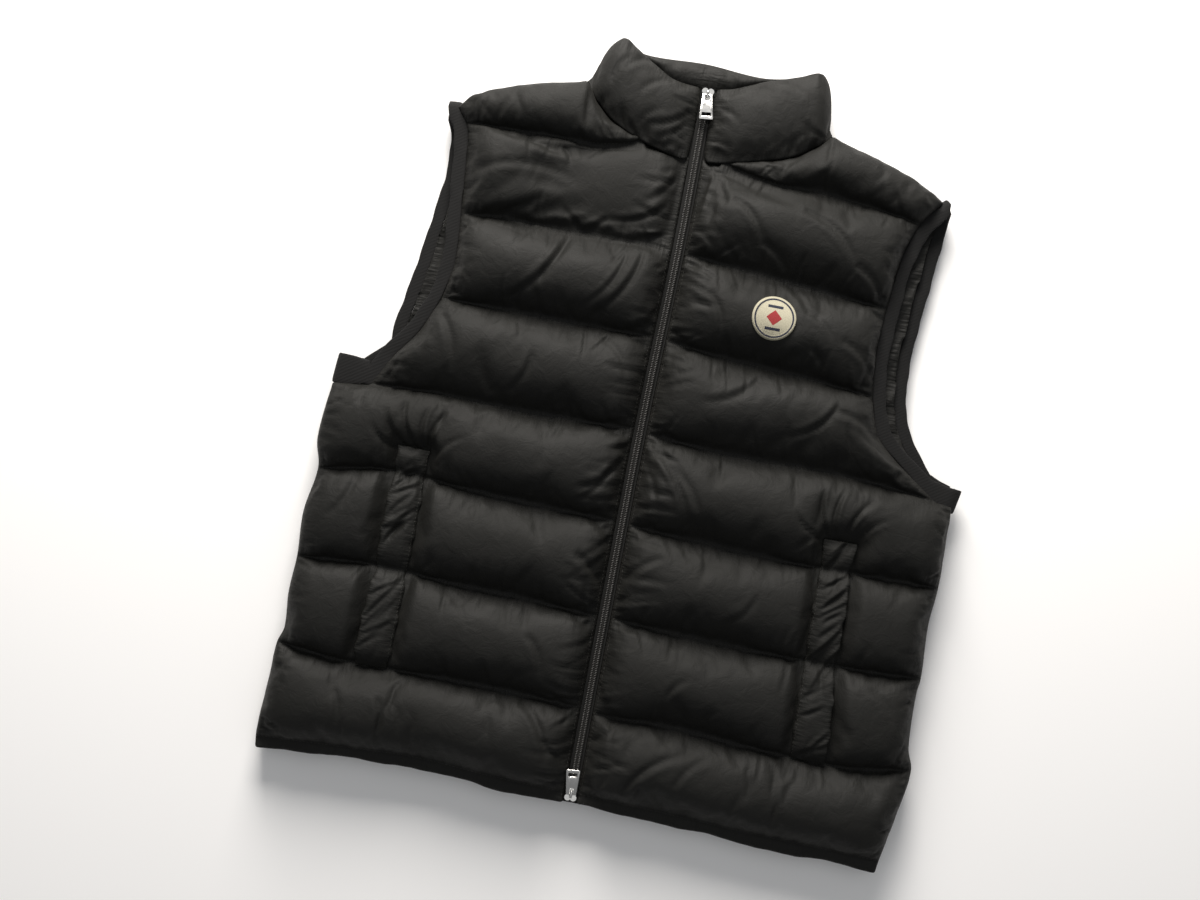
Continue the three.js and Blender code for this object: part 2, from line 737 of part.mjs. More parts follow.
function flat(p) {
  return new THREE.Vector3(p.x, p.y, 0);
}

// Joins equal rings of points into one closed body, end to end or round in a loop.
function loft(rings, round = false) {
  const skin = new Skin();
  const ids = rings.map((ring) => ring.map((p) => skin.add(p.x, p.y, p.z)));
  const count = rings[0].length;
  const last = rings.length - 1;
  for (let r = 0; r < (round ? rings.length : last); r++) {
    const next = (r + 1) % rings.length;
    for (let i = 0; i < count; i++) {
      const j = (i + 1) % count;
      skin.quad(ids[r][i], ids[r][j], ids[next][j], ids[next][i]);
    }
  }
  for (let i = 1; i + 1 < count && !round; i++) {
    skin.faces.push([ids[0][0], ids[0][i + 1], ids[0][i]]);
    skin.faces.push([ids[last][0], ids[last][i], ids[last][i + 1]]);
  }
  return facingOut(skin.geometry());
}

// Turns a closed geometry's faces outwards.
function facingOut(geometry) {
  if (solid(geometry, false).volume() >= 0) return geometry;
  const index = geometry.index.array;
  for (let i = 0; i < index.length; i += 3) [index[i], index[i + 1]] = [index[i + 1], index[i]];
  geometry.computeVertexNormals();
  return geometry;
}

// The stand collar: one strip of padded wall, from the zip round the back of the neck to the zip.
// A station stands on the spine line, between the collar's two layers, and turn points outwards.
function collarWall(right, left) {
  const rows = [0, 0.06, 0.16, 0.32, 0.5, 0.68, 0.84, 0.94, 1];
  const backNeckY = through(BACK_NECK, 'x', 'y');
  const backTopY = through(BACK_COLLAR_TOP, 'x', 'y');
  const half = (front) => {
    const topY = through(front.collar_top, 'out', 'y');
    const fold = COLLAR_FOLD_LOFT + COLLAR_GAP / 2;
    const foldLow = front.corner - fold;
    const foldHigh = front.collar_corner.out - fold;
    const flatStations = [0, 0.03, 0.1, 0.22, 0.36, 0.5, 0.64, 0.78, 0.9].map((g) => {
      const low = lerp(zipEdge(front, front.neckY(0)), foldLow, g);
      const high = lerp(zipEdge(front, ZIP_HEAD), foldHigh, g);
      const fromZip = low - zipEdge(front, front.neckY(0));
      return {
        low: { out: low, y: front.neckY(low) },
        high: { out: high, y: topY(high) },
        turn: 90,
        loft: COLLAR_FRONT_LOFT * lerp(0.25, 1, fullness(fromZip, ZIP_ROUND, ZIP_SOFTNESS)),
      };
    });
    const folded = [90, 112, 135, 157, 180, 203, 225, 248, 270].map((turn) => {
      const aside = Math.abs(Math.cos(THREE.MathUtils.degToRad(turn)));
      const outLow = foldLow + fold * aside;
      const outHigh = foldHigh + (COLLAR_GAP / 2 + COLLAR_EDGE * COLLAR_FOLD_LOFT) * aside;
      const above = turn <= 180;
      const lowY = above ? front.neckY(outLow) : backNeckY(front.side * outLow);
      const highY = above ? topY(outHigh) : backTopY(front.side * outHigh);
      const away = Math.abs(turn - 180) / 90;
      const side = above ? COLLAR_FRONT_LOFT : COLLAR_MID_Z;
      return {
        low: { out: foldLow, y: lowY },
        high: { out: foldHigh, y: highY },
        turn,
        loft: lerp(COLLAR_FOLD_LOFT, side, away ** 2),
      };
    });
    return [...flatStations, ...folded].map((s) => ({
      low: new THREE.Vector2(front.side * s.low.out, s.low.y),
      high: new THREE.Vector2(front.side * s.high.out, s.high.y),
      turn: THREE.MathUtils.degToRad(front.side > 0 ? 180 - s.turn : s.turn),
      loft: s.loft,
    }));
  };
  const rightHalf = half(right);
  const leftHalf = half(left).reverse();
  const [a, b] = [rightHalf.at(-1), leftHalf[0]];
  const behind = [0.1, 0.22, 0.36, 0.5, 0.64, 0.78, 0.9].map((g) => {
    const low = lerp(a.low.x, b.low.x, g);
    const high = lerp(a.high.x, b.high.x, g);
    return {
      low: new THREE.Vector2(low, backNeckY(low)),
      high: new THREE.Vector2(high, backTopY(high)),
      turn: -Math.PI / 2,
      loft: COLLAR_BACK_LOFT,
    };
  });
  const stations = [...rightHalf, ...behind, ...leftHalf];
  const point = (station, t, wall) => {
    const x = lerp(station.low.x, station.high.x, t);
    const y = lerp(station.low.y + COLLAR_LIFT, station.high.y, t);
    const reach = COLLAR_GAP / 2 + wall;
    const z = COLLAR_MID_Z + reach * Math.sin(station.turn);
    return new THREE.Vector3(x + reach * Math.cos(station.turn), y, Math.max(0, z));
  };
  const sections = stations.map((station) => {
    const section = rows.map((t) => COLLAR_EDGE + (1 - COLLAR_EDGE) * channelSection(t));
    const outer = rows.map((t, i) => point(station, t, station.loft * section[i]));
    const inner = rows.map((t) => point(station, t, 0)).reverse();
    return [...outer, ...inner];
  });
  return loft(sections);
}

// An armhole's binding: one tape, folded over the raw edge, that runs down the front armhole,
// turns under the arm and runs up the back armhole to the shoulder.
function armholeBinding(front) {
  const offset = BINDING_WIDTH / 2 + BINDING_GAP;
  const outward = (rows, ys) => {
    const outAt = through(rows, 'y', 'out');
    return ys.map((y) => {
      const slope = outAt(y + 1) - outAt(y - 1);
      const normal = new THREE.Vector2(2, -slope).normalize();
      return new THREE.Vector2(outAt(y), y).addScaledVector(normal, offset);
    });
  };
  const steps = (rows, skipLow, skipHigh, count) => {
    const [low, high] = [rows[0].y + skipLow, rows.at(-1).y - skipHigh];
    return range(0, count).map((i) => lerp(low, high, i / count));
  };
  const tip = (p) => new THREE.Vector2(p.out, p.y);
  const down = outward(front.armhole, steps(front.armhole, 8, 6, 20)).reverse();
  const up = outward(front.back_armhole, steps(front.back_armhole, 16, 6, 18));
  const turnPoints = (centre, z0, z1, ahead) => {
    const radius = (z0 - z1) / 2;
    return [0.15, 0.38, 0.62, 0.85].map((s) => {
      const turn = Math.PI * s;
      const at = centre.clone().addScaledVector(ahead, radius * Math.sin(turn));
      return { at, z: (z0 + z1) / 2 + radius * Math.cos(turn), turn };
    });
  };
  const armpit = tip(front.armpit_tip);
  const shoulder = tip(front.shoulder_tip);
  const inwards = armpit.clone().sub(down.at(-1)).normalize();
  const upwards = shoulder.clone().sub(up.at(-1)).normalize();
  const path = [
    ...down.map((at) => ({ at, z: BINDING_FRONT_Z, turn: 0 })),
    ...turnPoints(armpit, BINDING_FRONT_Z, BINDING_BACK_Z, inwards),
    ...up.map((at) => ({ at, z: BINDING_BACK_Z, turn: Math.PI })),
    ...turnPoints(shoulder, BINDING_BACK_Z, BINDING_FRONT_Z, upwards).map((p) => ({
      ...p,
      turn: p.turn + Math.PI,
    })),
  ];
  const section = [
    { wide: -1, thick: 0 },
    { wide: -0.8, thick: 1 },
    { wide: 0.8, thick: 1 },
    { wide: 1, thick: 0 },
    { wide: 0.8, thick: -1 },
    { wide: -0.8, thick: -1 },
  ];
  const rings = path.map(({ at, z, turn }, i) => {
    const ahead = path[(i + 1) % path.length].at;
    const behind = path[(i + path.length - 1) % path.length].at;
    const flatAhead = turn % Math.PI === 0 ? ahead.clone().sub(behind).normalize() : null;
    const along = flatAhead ?? (turn < Math.PI ? inwards.clone() : upwards.clone());
    if (turn >= Math.PI) along.negate();
    const across = new THREE.Vector3(-along.y, along.x, 0);
    const lift = new THREE.Vector3(along.x, along.y, 0).multiplyScalar(Math.sin(turn));
    lift.z = Math.cos(turn);
    return section.map(({ wide, thick }) => {
      const p = new THREE.Vector3(at.x, at.y, z);
      p.addScaledVector(across, (wide * BINDING_WIDTH) / 2);
      p.addScaledVector(lift, (thick * BINDING_WALL) / 2);
      p.x *= front.side;
      return p;
    });
  });
  return loft(rings, true);
}

// A strip that follows the zip line: rows give y and the strip's inner and outer place across it.
function zipStrip(side, rows, low, high) {
  const rings = rows.map(({ y, inside, outside }) => {
    const [a, b] = [zipX(y) + side * inside, zipX(y) + side * outside];
    return [
      new THREE.Vector3(a, y, low),
      new THREE.Vector3(b, y, low),
      new THREE.Vector3(b, y, high),
      new THREE.Vector3(a, y, high),
    ];
  });
  return loft(rings);
}

// Slider places on the zip line, and the sizes that the tapes, the sliders and the pulls share.
const SLIDER = { length: 12, plate: 1.2, postHalf: 1.3, postLow: 2.2, postHigh: 5.2 };
const SLIDER_HALF = 5.1;
const SLIDER_UNDER = -SEAM_GAP - SLIDER.plate;
const SLIDER_DECK = TAPE_WALL + COIL_HEIGHT + 2 * SEAM_GAP + SLIDER.plate;
const TOP_SLIDER_Y = 605.5;
const BOTTOM_SLIDER_Y = 6.5;
const BRIDGE = { half: 1.1, reach: 3.4, leg: 1.3, arch: 2.4, roof: 1 };
const PULL = { near: 4.2, far: 6.1, length: 21.5, plate: 1.3, bar: 0.6, gap: 0.5 };
const PULL_EYE = { half: 1.75, length: 5.4 };
const PULL_SLOT = { half: 3.6, low: 15.6, high: 18.4 };
const PULL_YAW = { top: 6, bottom: 5 };
const PULL_PITCH = 9;
const PIVOT_Z = SLIDER_DECK + PULL.gap + PULL.plate / 2;

function zipTape(side) {
  const spreadHalf = SLIDER.postHalf + SEAM_GAP;
  const inside = (y) => {
    const fromTop = y - (TOP_SLIDER_Y + SLIDER.postLow - 2);
    const fromBottom = BOTTOM_SLIDER_Y - SLIDER.postLow + 2 - y;
    return Math.max(fromTop, fromBottom) > 0 ? spreadHalf : SEAM_GAP / 2;
  };
  const between = range(0, 26).map((i) => lerp(BOTTOM_SLIDER_Y + 4, TOP_SLIDER_Y - 4, i / 26));
  const ends = [ZIP_FOOT, BOTTOM_SLIDER_Y - 1, BOTTOM_SLIDER_Y + 1];
  const heads = [TOP_SLIDER_Y - 1, TOP_SLIDER_Y + 1, ZIP_HEAD];
  const ys = [...ends, ...between, ...heads];
  const outside = ZIP_HALF - 1.6 * SEAM_GAP;
  const rows = ys.map((y) => ({ y, inside: inside(y), outside }));
  return zipStrip(side, rows, TAPE_Z, TAPE_Z + TAPE_WALL);
}

function zipCoil() {
  const ys = range(0, 28).map((i) => lerp(BOTTOM_SLIDER_Y + 1, TOP_SLIDER_Y - 1, i / 28));
  const rows = ys.map((y) => ({ y, inside: -COIL_HALF, outside: COIL_HALF }));
  return zipStrip(1, rows, COIL_Z, COIL_Z + COIL_HEIGHT);
}

// A closed geometry as a solid for joining and cutting.
function solid(geometry, prepare = true) {
  let g = geometry;
  if (prepare) {
    g = geometry.clone();
    g.deleteAttribute('normal');
    g.deleteAttribute('uv');
    g = mergeVertices(g, MERGE_TOLERANCE);
  }
  const vertProperties = g.attributes.position.array;
  const mesh = { numProp: 3, vertProperties, triVerts: new Uint32Array(g.index.array) };
  return new wasm.Manifold(new wasm.Mesh(mesh));
}

function geometryOf(body) {
  const mesh = body.getMesh();
  const g = new THREE.BufferGeometry();
  g.setAttribute('position', new THREE.BufferAttribute(new Float32Array(mesh.vertProperties), 3));
  g.setIndex([...mesh.triVerts]);
  g.computeVertexNormals();
  return g;
}

function box(x0, x1, y0, y1, z0, z1) {
  const g = new THREE.BoxGeometry(x1 - x0, y1 - y0, z1 - z0);
  return solid(g.translate((x0 + x1) / 2, (y0 + y1) / 2, (z0 + z1) / 2));
}

function plate(shape, z0, z1) {
  const g = new THREE.ExtrudeGeometry(shape, { depth: z1 - z0, bevelEnabled: false, curveSegments: 8 });
  return solid(g.translate(0, 0, z0));
}

// The slider's outline: a narrow tail over the chain and two round shoulders where it opens.
function sliderShape() {
  const tail = 3.9;
  const shoulder = 2.7;
  const end = SLIDER.length / 2;
  const s = new THREE.Shape();
  s.moveTo(-tail, -end);
  s.lineTo(tail, -end);
  s.lineTo(tail + 0.6, 0.8);
  s.absarc(SLIDER_HALF - shoulder, end - shoulder, shoulder, -0.5, Math.PI * 0.6, false);
  s.lineTo(0, end - 1.8);
  s.absarc(shoulder - SLIDER_HALF, end - shoulder, shoulder, Math.PI * 0.4, Math.PI + 0.5, false);
  s.lineTo(-tail - 0.6, 0.8);
  s.closePath();
  return s;
}

// A slider, about its own middle: two plates, a post between them, side flanges and a bridge.
function sliderBody() {
  const shape = sliderShape();
  const end = SLIDER.length / 2;
  const deckLow = SLIDER_DECK - SLIDER.plate;
  const slotTop = TAPE_WALL + SEAM_GAP;
  const flangeIn = COIL_HALF + SEAM_GAP;
  let body = plate(shape, SLIDER_UNDER, SLIDER_UNDER + SLIDER.plate).add(plate(shape, deckLow, SLIDER_DECK));
  const post = [-SLIDER.postHalf, SLIDER.postHalf, SLIDER.postLow, SLIDER.postHigh - 1.2];
  body = body.add(box(...post, SLIDER_UNDER, SLIDER_DECK));
  for (const side of [-1, 1]) {
    const [a, b] = [side * flangeIn, side * (flangeIn + 0.8)].sort((p, q) => p - q);
    body = body.add(box(a, b, -end, 0.6, slotTop, SLIDER_DECK));
  }
  const sunk = -SLIDER.plate / 2;
  const bridge = new THREE.Shape();
  bridge.moveTo(-BRIDGE.reach, sunk);
  bridge.lineTo(-BRIDGE.reach, BRIDGE.arch);
  bridge.lineTo(-BRIDGE.reach + 1.1, BRIDGE.arch + BRIDGE.roof);
  bridge.lineTo(BRIDGE.reach - 1.1, BRIDGE.arch + BRIDGE.roof);
  bridge.lineTo(BRIDGE.reach, BRIDGE.arch);
  bridge.lineTo(BRIDGE.reach, sunk);
  bridge.closePath();
  const arch = new THREE.ExtrudeGeometry(bridge, { depth: 2 * BRIDGE.half, bevelEnabled: false });
  arch.rotateX(Math.PI / 2).rotateZ(Math.PI / 2).translate(-BRIDGE.half, 0, SLIDER_DECK);
  body = body.add(solid(arch));
  const inner = BRIDGE.reach - BRIDGE.leg;
  return body.subtract(box(-3, 3, -inner, inner, SLIDER_DECK, SLIDER_DECK + BRIDGE.arch));
}

// A pull tab, about its pivot: a tapered plate that lies towards -Y, with the eye that the
// slider's bridge passes through and a slot near its wide end.
function pullTab() {
  const s = new THREE.Shape();
  const round = 1.1;
  const tip = -PULL.length;
  s.moveTo(-PULL.near, PULL.bar);
  s.lineTo(-PULL.far, tip + round);
  s.quadraticCurveTo(-PULL.far, tip, -PULL.far + round, tip);
  s.lineTo(PULL.far - round, tip);
  s.quadraticCurveTo(PULL.far, tip, PULL.far, tip + round);
  s.lineTo(PULL.near, PULL.bar);
  s.closePath();
  const [low, high] = [-PULL.plate / 2, PULL.plate / 2];
  const eye = box(-PULL_EYE.half, PULL_EYE.half, -PULL_EYE.length, -PULL.bar, low - 1, high + 1);
  const slot = box(-PULL_SLOT.half, PULL_SLOT.half, -PULL_SLOT.high, -PULL_SLOT.low, low - 1, high + 1);
  return plate(s, low, high).subtract(eye).subtract(slot);
}

const CLOTH = { color: 0x2b2a27, roughness: 0.62, metalness: 0 };
const TAPE = { color: 0x171716, roughness: 0.85, metalness: 0 };
const COIL = { color: 0x1c1c1b, roughness: 0.45, metalness: 0 };
const METAL = { color: 0xc9c8c4, roughness: 0.22, metalness: 1 };
const FELT = { color: 0xd9d6c8, roughness: 0.9, metalness: 0 };

const vest = new THREE.Group();

function piece(name, geometry, finish, parent = vest) {
  const mesh = new THREE.Mesh(geometry, new THREE.MeshStandardMaterial(finish));
  mesh.name = name;
  parent.add(mesh);
  return mesh;
}

const right = withCurves(RIGHT);
const left = withCurves(LEFT);

piece('back', backPanel(right, left), CLOTH);
for (const front of [right, left]) {
  piece(`front_${front.name}`, frontPanel(front), CLOTH);
  piece(`pocket_welt_${front.name}`, weltPanel(front), CLOTH);
  piece(`armhole_binding_${front.name}`, armholeBinding(front), TAPE);
  piece(`zip_tape_${front.name}`, zipTape(front.side), TAPE);
}
piece('collar', collarWall(right, left), CLOTH);
piece('zip_coil', zipCoil(), COIL);
piece('badge', badgeDisc(left), FELT);

// The two sliders. The bottom one is turned round, so that both open away from the chain.
const sliders = [
  { name: 'top', y: TOP_SLIDER_Y, turn: 0, yaw: PULL_YAW.top },
  { name: 'bottom', y: BOTTOM_SLIDER_Y, turn: 180, yaw: PULL_YAW.bottom },
];
for (const { name, y, turn, yaw } of sliders) {
  const holder = new THREE.Group();
  holder.position.set(zipX(y), y, TAPE_Z);
  holder.rotation.z = THREE.MathUtils.degToRad(turn);
  vest.add(holder);
  piece(`slider_${name}`, geometryOf(sliderBody()), METAL, holder);
  const pull = piece(`pull_tab_${name}`, geometryOf(pullTab()), METAL, holder);
  pull.position.z = PIVOT_Z;
  pull.rotation.set(THREE.MathUtils.degToRad(-PULL_PITCH), 0, THREE.MathUtils.degToRad(yaw), 'ZXY');
}

vest.updateMatrixWorld(true);
const around = new THREE.Box3().setFromObject(vest, true);
const middle = around.getCenter(new THREE.Vector3());
vest.position.set(-middle.x, -middle.y, -around.min.z);

export default vest;
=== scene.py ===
"""A quilted down vest with a stand collar, zipped up and laid flat on a table, front up.

The tables are in millimetres on the garment: y is the height above the foot of the zip, out is the
distance from the middle towards the side that the table belongs to, and x is the same with a sign,
towards the wearer's left. place() turns them into the frame's metres.
"""
import math

import bmesh
import bpy
import numpy as np
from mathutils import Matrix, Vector
from mathutils.bvhtree import BVHTree


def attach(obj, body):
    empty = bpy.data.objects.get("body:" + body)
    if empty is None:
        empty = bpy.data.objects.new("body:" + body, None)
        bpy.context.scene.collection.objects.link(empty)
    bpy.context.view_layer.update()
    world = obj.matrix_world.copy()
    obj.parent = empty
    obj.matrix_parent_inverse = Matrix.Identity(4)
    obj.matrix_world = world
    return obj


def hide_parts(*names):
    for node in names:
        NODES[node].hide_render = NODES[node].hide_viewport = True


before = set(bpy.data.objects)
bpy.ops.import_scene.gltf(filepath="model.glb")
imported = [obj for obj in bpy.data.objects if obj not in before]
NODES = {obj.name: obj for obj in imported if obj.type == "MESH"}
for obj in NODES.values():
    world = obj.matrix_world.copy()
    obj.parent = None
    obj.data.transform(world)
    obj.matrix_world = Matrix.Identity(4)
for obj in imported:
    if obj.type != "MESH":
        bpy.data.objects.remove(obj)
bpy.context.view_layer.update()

MM = 0.001
FOOT_OF_ZIP = np.array([-2.0155, -314.0, 0.0])
rng = np.random.default_rng(7)

# Heights above the table
BACK_WALL = 20.0
FRONT_IN = 20.4
SEAM_WALL = 4.5
LOFT = 25.0
HEM_LOFT = 1.2
FULL_CHANNEL = 62.0

# How far the filling takes to reach its full height beside each edge
ZIP_ROUND = 36.0
ZIP_SOFTNESS = 0.85
SIDE_ROUND = 27.0
ARMHOLE_ROUND = 24.0

ZIP_HALF = 5.6
ZIP_HEAD = 611.0
TAPE_Z = FRONT_IN + 2.2
TAPE_WALL = 1.0
COIL_HALF = 2.9


def rows(columns, *lines):
    """A table: one dictionary a row, with the named columns."""
    return [dict(zip(columns.split(), line)) for line in lines]


def through(table, key, value):
    """A smooth curve through a table's rows, from one named column to another."""
    ordered = sorted(table, key=lambda row: row[key])
    k = np.array([row[key] for row in ordered], float)
    v = np.array([row[value] for row in ordered], float)
    number = np.arange(len(k))
    below, above = np.maximum(number - 1, 0), np.minimum(number + 1, len(k) - 1)
    slope = (v[above] - v[below]) / (k[above] - k[below])

    def at(x):
        x = np.clip(np.asarray(x, float), k[0], k[-1])
        i = np.clip(np.searchsorted(k, x, side="left") - 1, 0, len(k) - 2)
        span = k[i + 1] - k[i]
        s = (x - k[i]) / span
        cube = s * s * (3 - 2 * s)
        bend = (1 - s) * slope[i] - s * slope[i + 1]
        return v[i] * (1 - cube) + v[i + 1] * cube + span * s * (1 - s) * bend

    return at


ZIP_LINE = rows("y x", (-20, -2), (150, -1.5), (330, 0), (480, 4), (620, 4))
zip_x = through(ZIP_LINE, "y", "x")

# A quilting line's y at five even steps from where it starts to its outer end, and where it
# crosses the pocket welt.
SEAM_COLUMNS = "line y0 y1 y2 y3 y4 welt_in welt_out"
RIGHT = dict(
    name="right",
    side=-1,
    neck_column=5,
    corner_column=10,
    yoke_start=42,
    armpit=231,
    seams=rows(
        SEAM_COLUMNS,
        ("hem edge", -3, -2, 3, 0, -3, None, None),
        ("hem stitching", 7, 9, 13, 10, 7, None, None),
        ("channel 7", 79, 82, 82.5, 82, 88, 172, 203),
        ("channel 6", 157, 161, 163, 166, 162, 170.5, 199),
        ("channel 5", 239, 240.5, 243, 247, 238, 170, 198),
        ("armpit", 318, 316, 316, 317, 311, 169, 196),
        ("channel 3", 397, 396.5, 396.5, 397, 397, None, None),
        ("channel 2", 471, 472, 472.5, 472.5, 470, None, None),
        ("yoke", 557, 549, 548.5, 547.5, 546, None, None),
    ),
    side_edge=rows(
        "y out", (-3, 271.5), (10, 273), (60, 270.5), (87, 269.5), (100, 265.5), (130, 267.5),
        (162, 266), (200, 267.5), (238, 262), (262, 267), (311, 263),
    ),
    armhole=rows(
        "y out", (316, 231), (340, 217.5), (365, 200), (385, 190.5), (400, 185), (430, 180),
        (465, 182), (500, 185), (530, 188), (546, 192), (558, 202),
    ),
    neck=rows("out y", (0, 550), (30, 555), (50, 560.5), (70, 570), (85, 583), (97, 599)),
    shoulder=rows("out y", (97, 599), (130, 592.5), (160, 583.5), (188, 571), (202, 558)),
    armpit_tip=(256, 329),
    tape_spread=16.0,
    shoulder_tip=(205.5, 556),
    back_armhole=rows(
        "y out", (311, 251), (330, 232), (350, 213), (370, 211.5), (395, 206.5), (420, 202),
        (470, 195.5), (505, 191), (540, 194), (558, 202),
    ),
    collar_corner=82,
    collar_top=rows(
        "out y", (0, 611.5), (26, 614.5), (44, 624), (60, 634), (73, 641), (82, 638),
    ),
)
LEFT = dict(
    name="left",
    side=1,
    neck_column=3,
    corner_column=11,
    yoke_start=26,
    armpit=256,
    seams=rows(
        SEAM_COLUMNS,
        ("hem edge", -3, -5, -9, -11.5, -13, None, None),
        ("hem stitching", 7, 5, 2, 0, -2, None, None),
        ("channel 7", 76, 77, 72.5, 70, 78, 172, 204),
        ("channel 6", 158, 154.5, 153, 153, 155, 169.5, 197),
        ("channel 5", 237.5, 234.5, 231.5, 232, 233, 168, 195.5),
        ("armpit", 316, 311.5, 311, 310, 302, 167, 194),
        ("channel 3", 396, 391, 388, 385, 381, None, None),
        ("channel 2", 470, 466.5, 462.5, 459, 456, None, None),
        ("yoke", 552, 543.5, 542, 538, 531, None, None),
    ),
    side_edge=rows(
        "y out", (-13, 262), (20, 268), (50, 273.5), (78, 277), (95, 271.5), (140, 269.5),
        (155, 271), (200, 269), (233, 271.5), (265, 271), (302, 270),
    ),
    armhole=rows(
        "y out", (304, 256), (322, 230), (341, 206), (352, 197), (381, 188), (420, 184),
        (456, 186), (500, 190.5), (531, 201), (553, 217),
    ),
    neck=rows("out y", (0, 549.5), (26, 552.5), (60, 559.5), (85, 568), (103, 580), (114, 590)),
    shoulder=rows("out y", (114, 590), (150, 581), (185, 569.5), (205, 560), (217, 553)),
    armpit_tip=(269, 314),
    tape_spread=10.0,
    shoulder_tip=(221, 549),
    back_armhole=rows(
        "y out", (302, 258), (320, 240), (345, 222), (368, 210.5), (405, 205), (470, 208.5),
        (515, 213), (553, 217),
    ),
    collar_corner=105,
    collar_top=rows(
        "out y", (0, 611.5), (24, 615.5), (50, 626), (78, 635.5), (94, 641), (105, 637),
    ),
)
BACK_NECK = rows("x y", (-97, 599), (-60, 590), (0, 585), (60, 583), (114, 590))
BACK_COLLAR_TOP = rows("x y", (-73, 641), (-56, 632), (0, 633), (46, 630), (72, 634), (96, 641))

# Columns of the CAD front's grid, as shares of its width. Each gap is split finer here.
COARSE = [
    0, 0.015, 0.04, 0.08, 0.13, 0.18, 0.23, 0.28, 0.33, 0.38, 0.43, 0.48, 0.53, 0.58, 0.63, 0.68,
    0.725, 0.77, 0.81, 0.85, 0.88, 0.9, 0.935, 0.965, 0.987, 1,
]
WELT_FIRST, WELT_LAST, ARMHOLE_COLUMN = 14, 17, 21
WELT_TOP_SHARE = 0.32
WELT_SIDE_RAMP = 13.0
WELT_END_RAMP = 11.0
FINE_GAP = 3.8
HALF_WIDTH = 266.0


def finer(marks, gap):
    """The marks with each space split evenly, and each mark's new number."""
    out, number = [marks[0]], [0]
    for a, b in zip(marks, marks[1:]):
        parts = max(1, round((b - a) / gap))
        out += [a + (b - a) * (i + 1) / parts for i in range(parts)]
        number.append(len(out) - 1)
    return np.array(out), number


SHARES, COLUMN = finer(COARSE, FINE_GAP / HALF_WIDTH)
LAST = len(SHARES) - 1


def fullness(distance, reach, softness=0.5):
    """How full the cloth is at a distance from an edge: a quarter round, or softer for 1."""
    s = np.clip(np.asarray(distance, float) / reach, 0, 1)
    return (1 - (1 - s) ** 2) ** softness


def zip_reach(y):
    """The filling starts nearer to the zip than in the CAD, except under the pull tabs."""
    between = np.clip((y - 40) / 40, 0, 1) * np.clip((575 - y) / 40, 0, 1)
    return ZIP_ROUND - 12 * between


def channel_section(t, roundness=2.2):
    """A channel's section between two quilting lines: 0 at each line and 1 in the middle."""
    off = np.abs(2 * np.clip(t, 0, 1) - 1)
    return (1 - off**roundness) ** (1 / roundness)


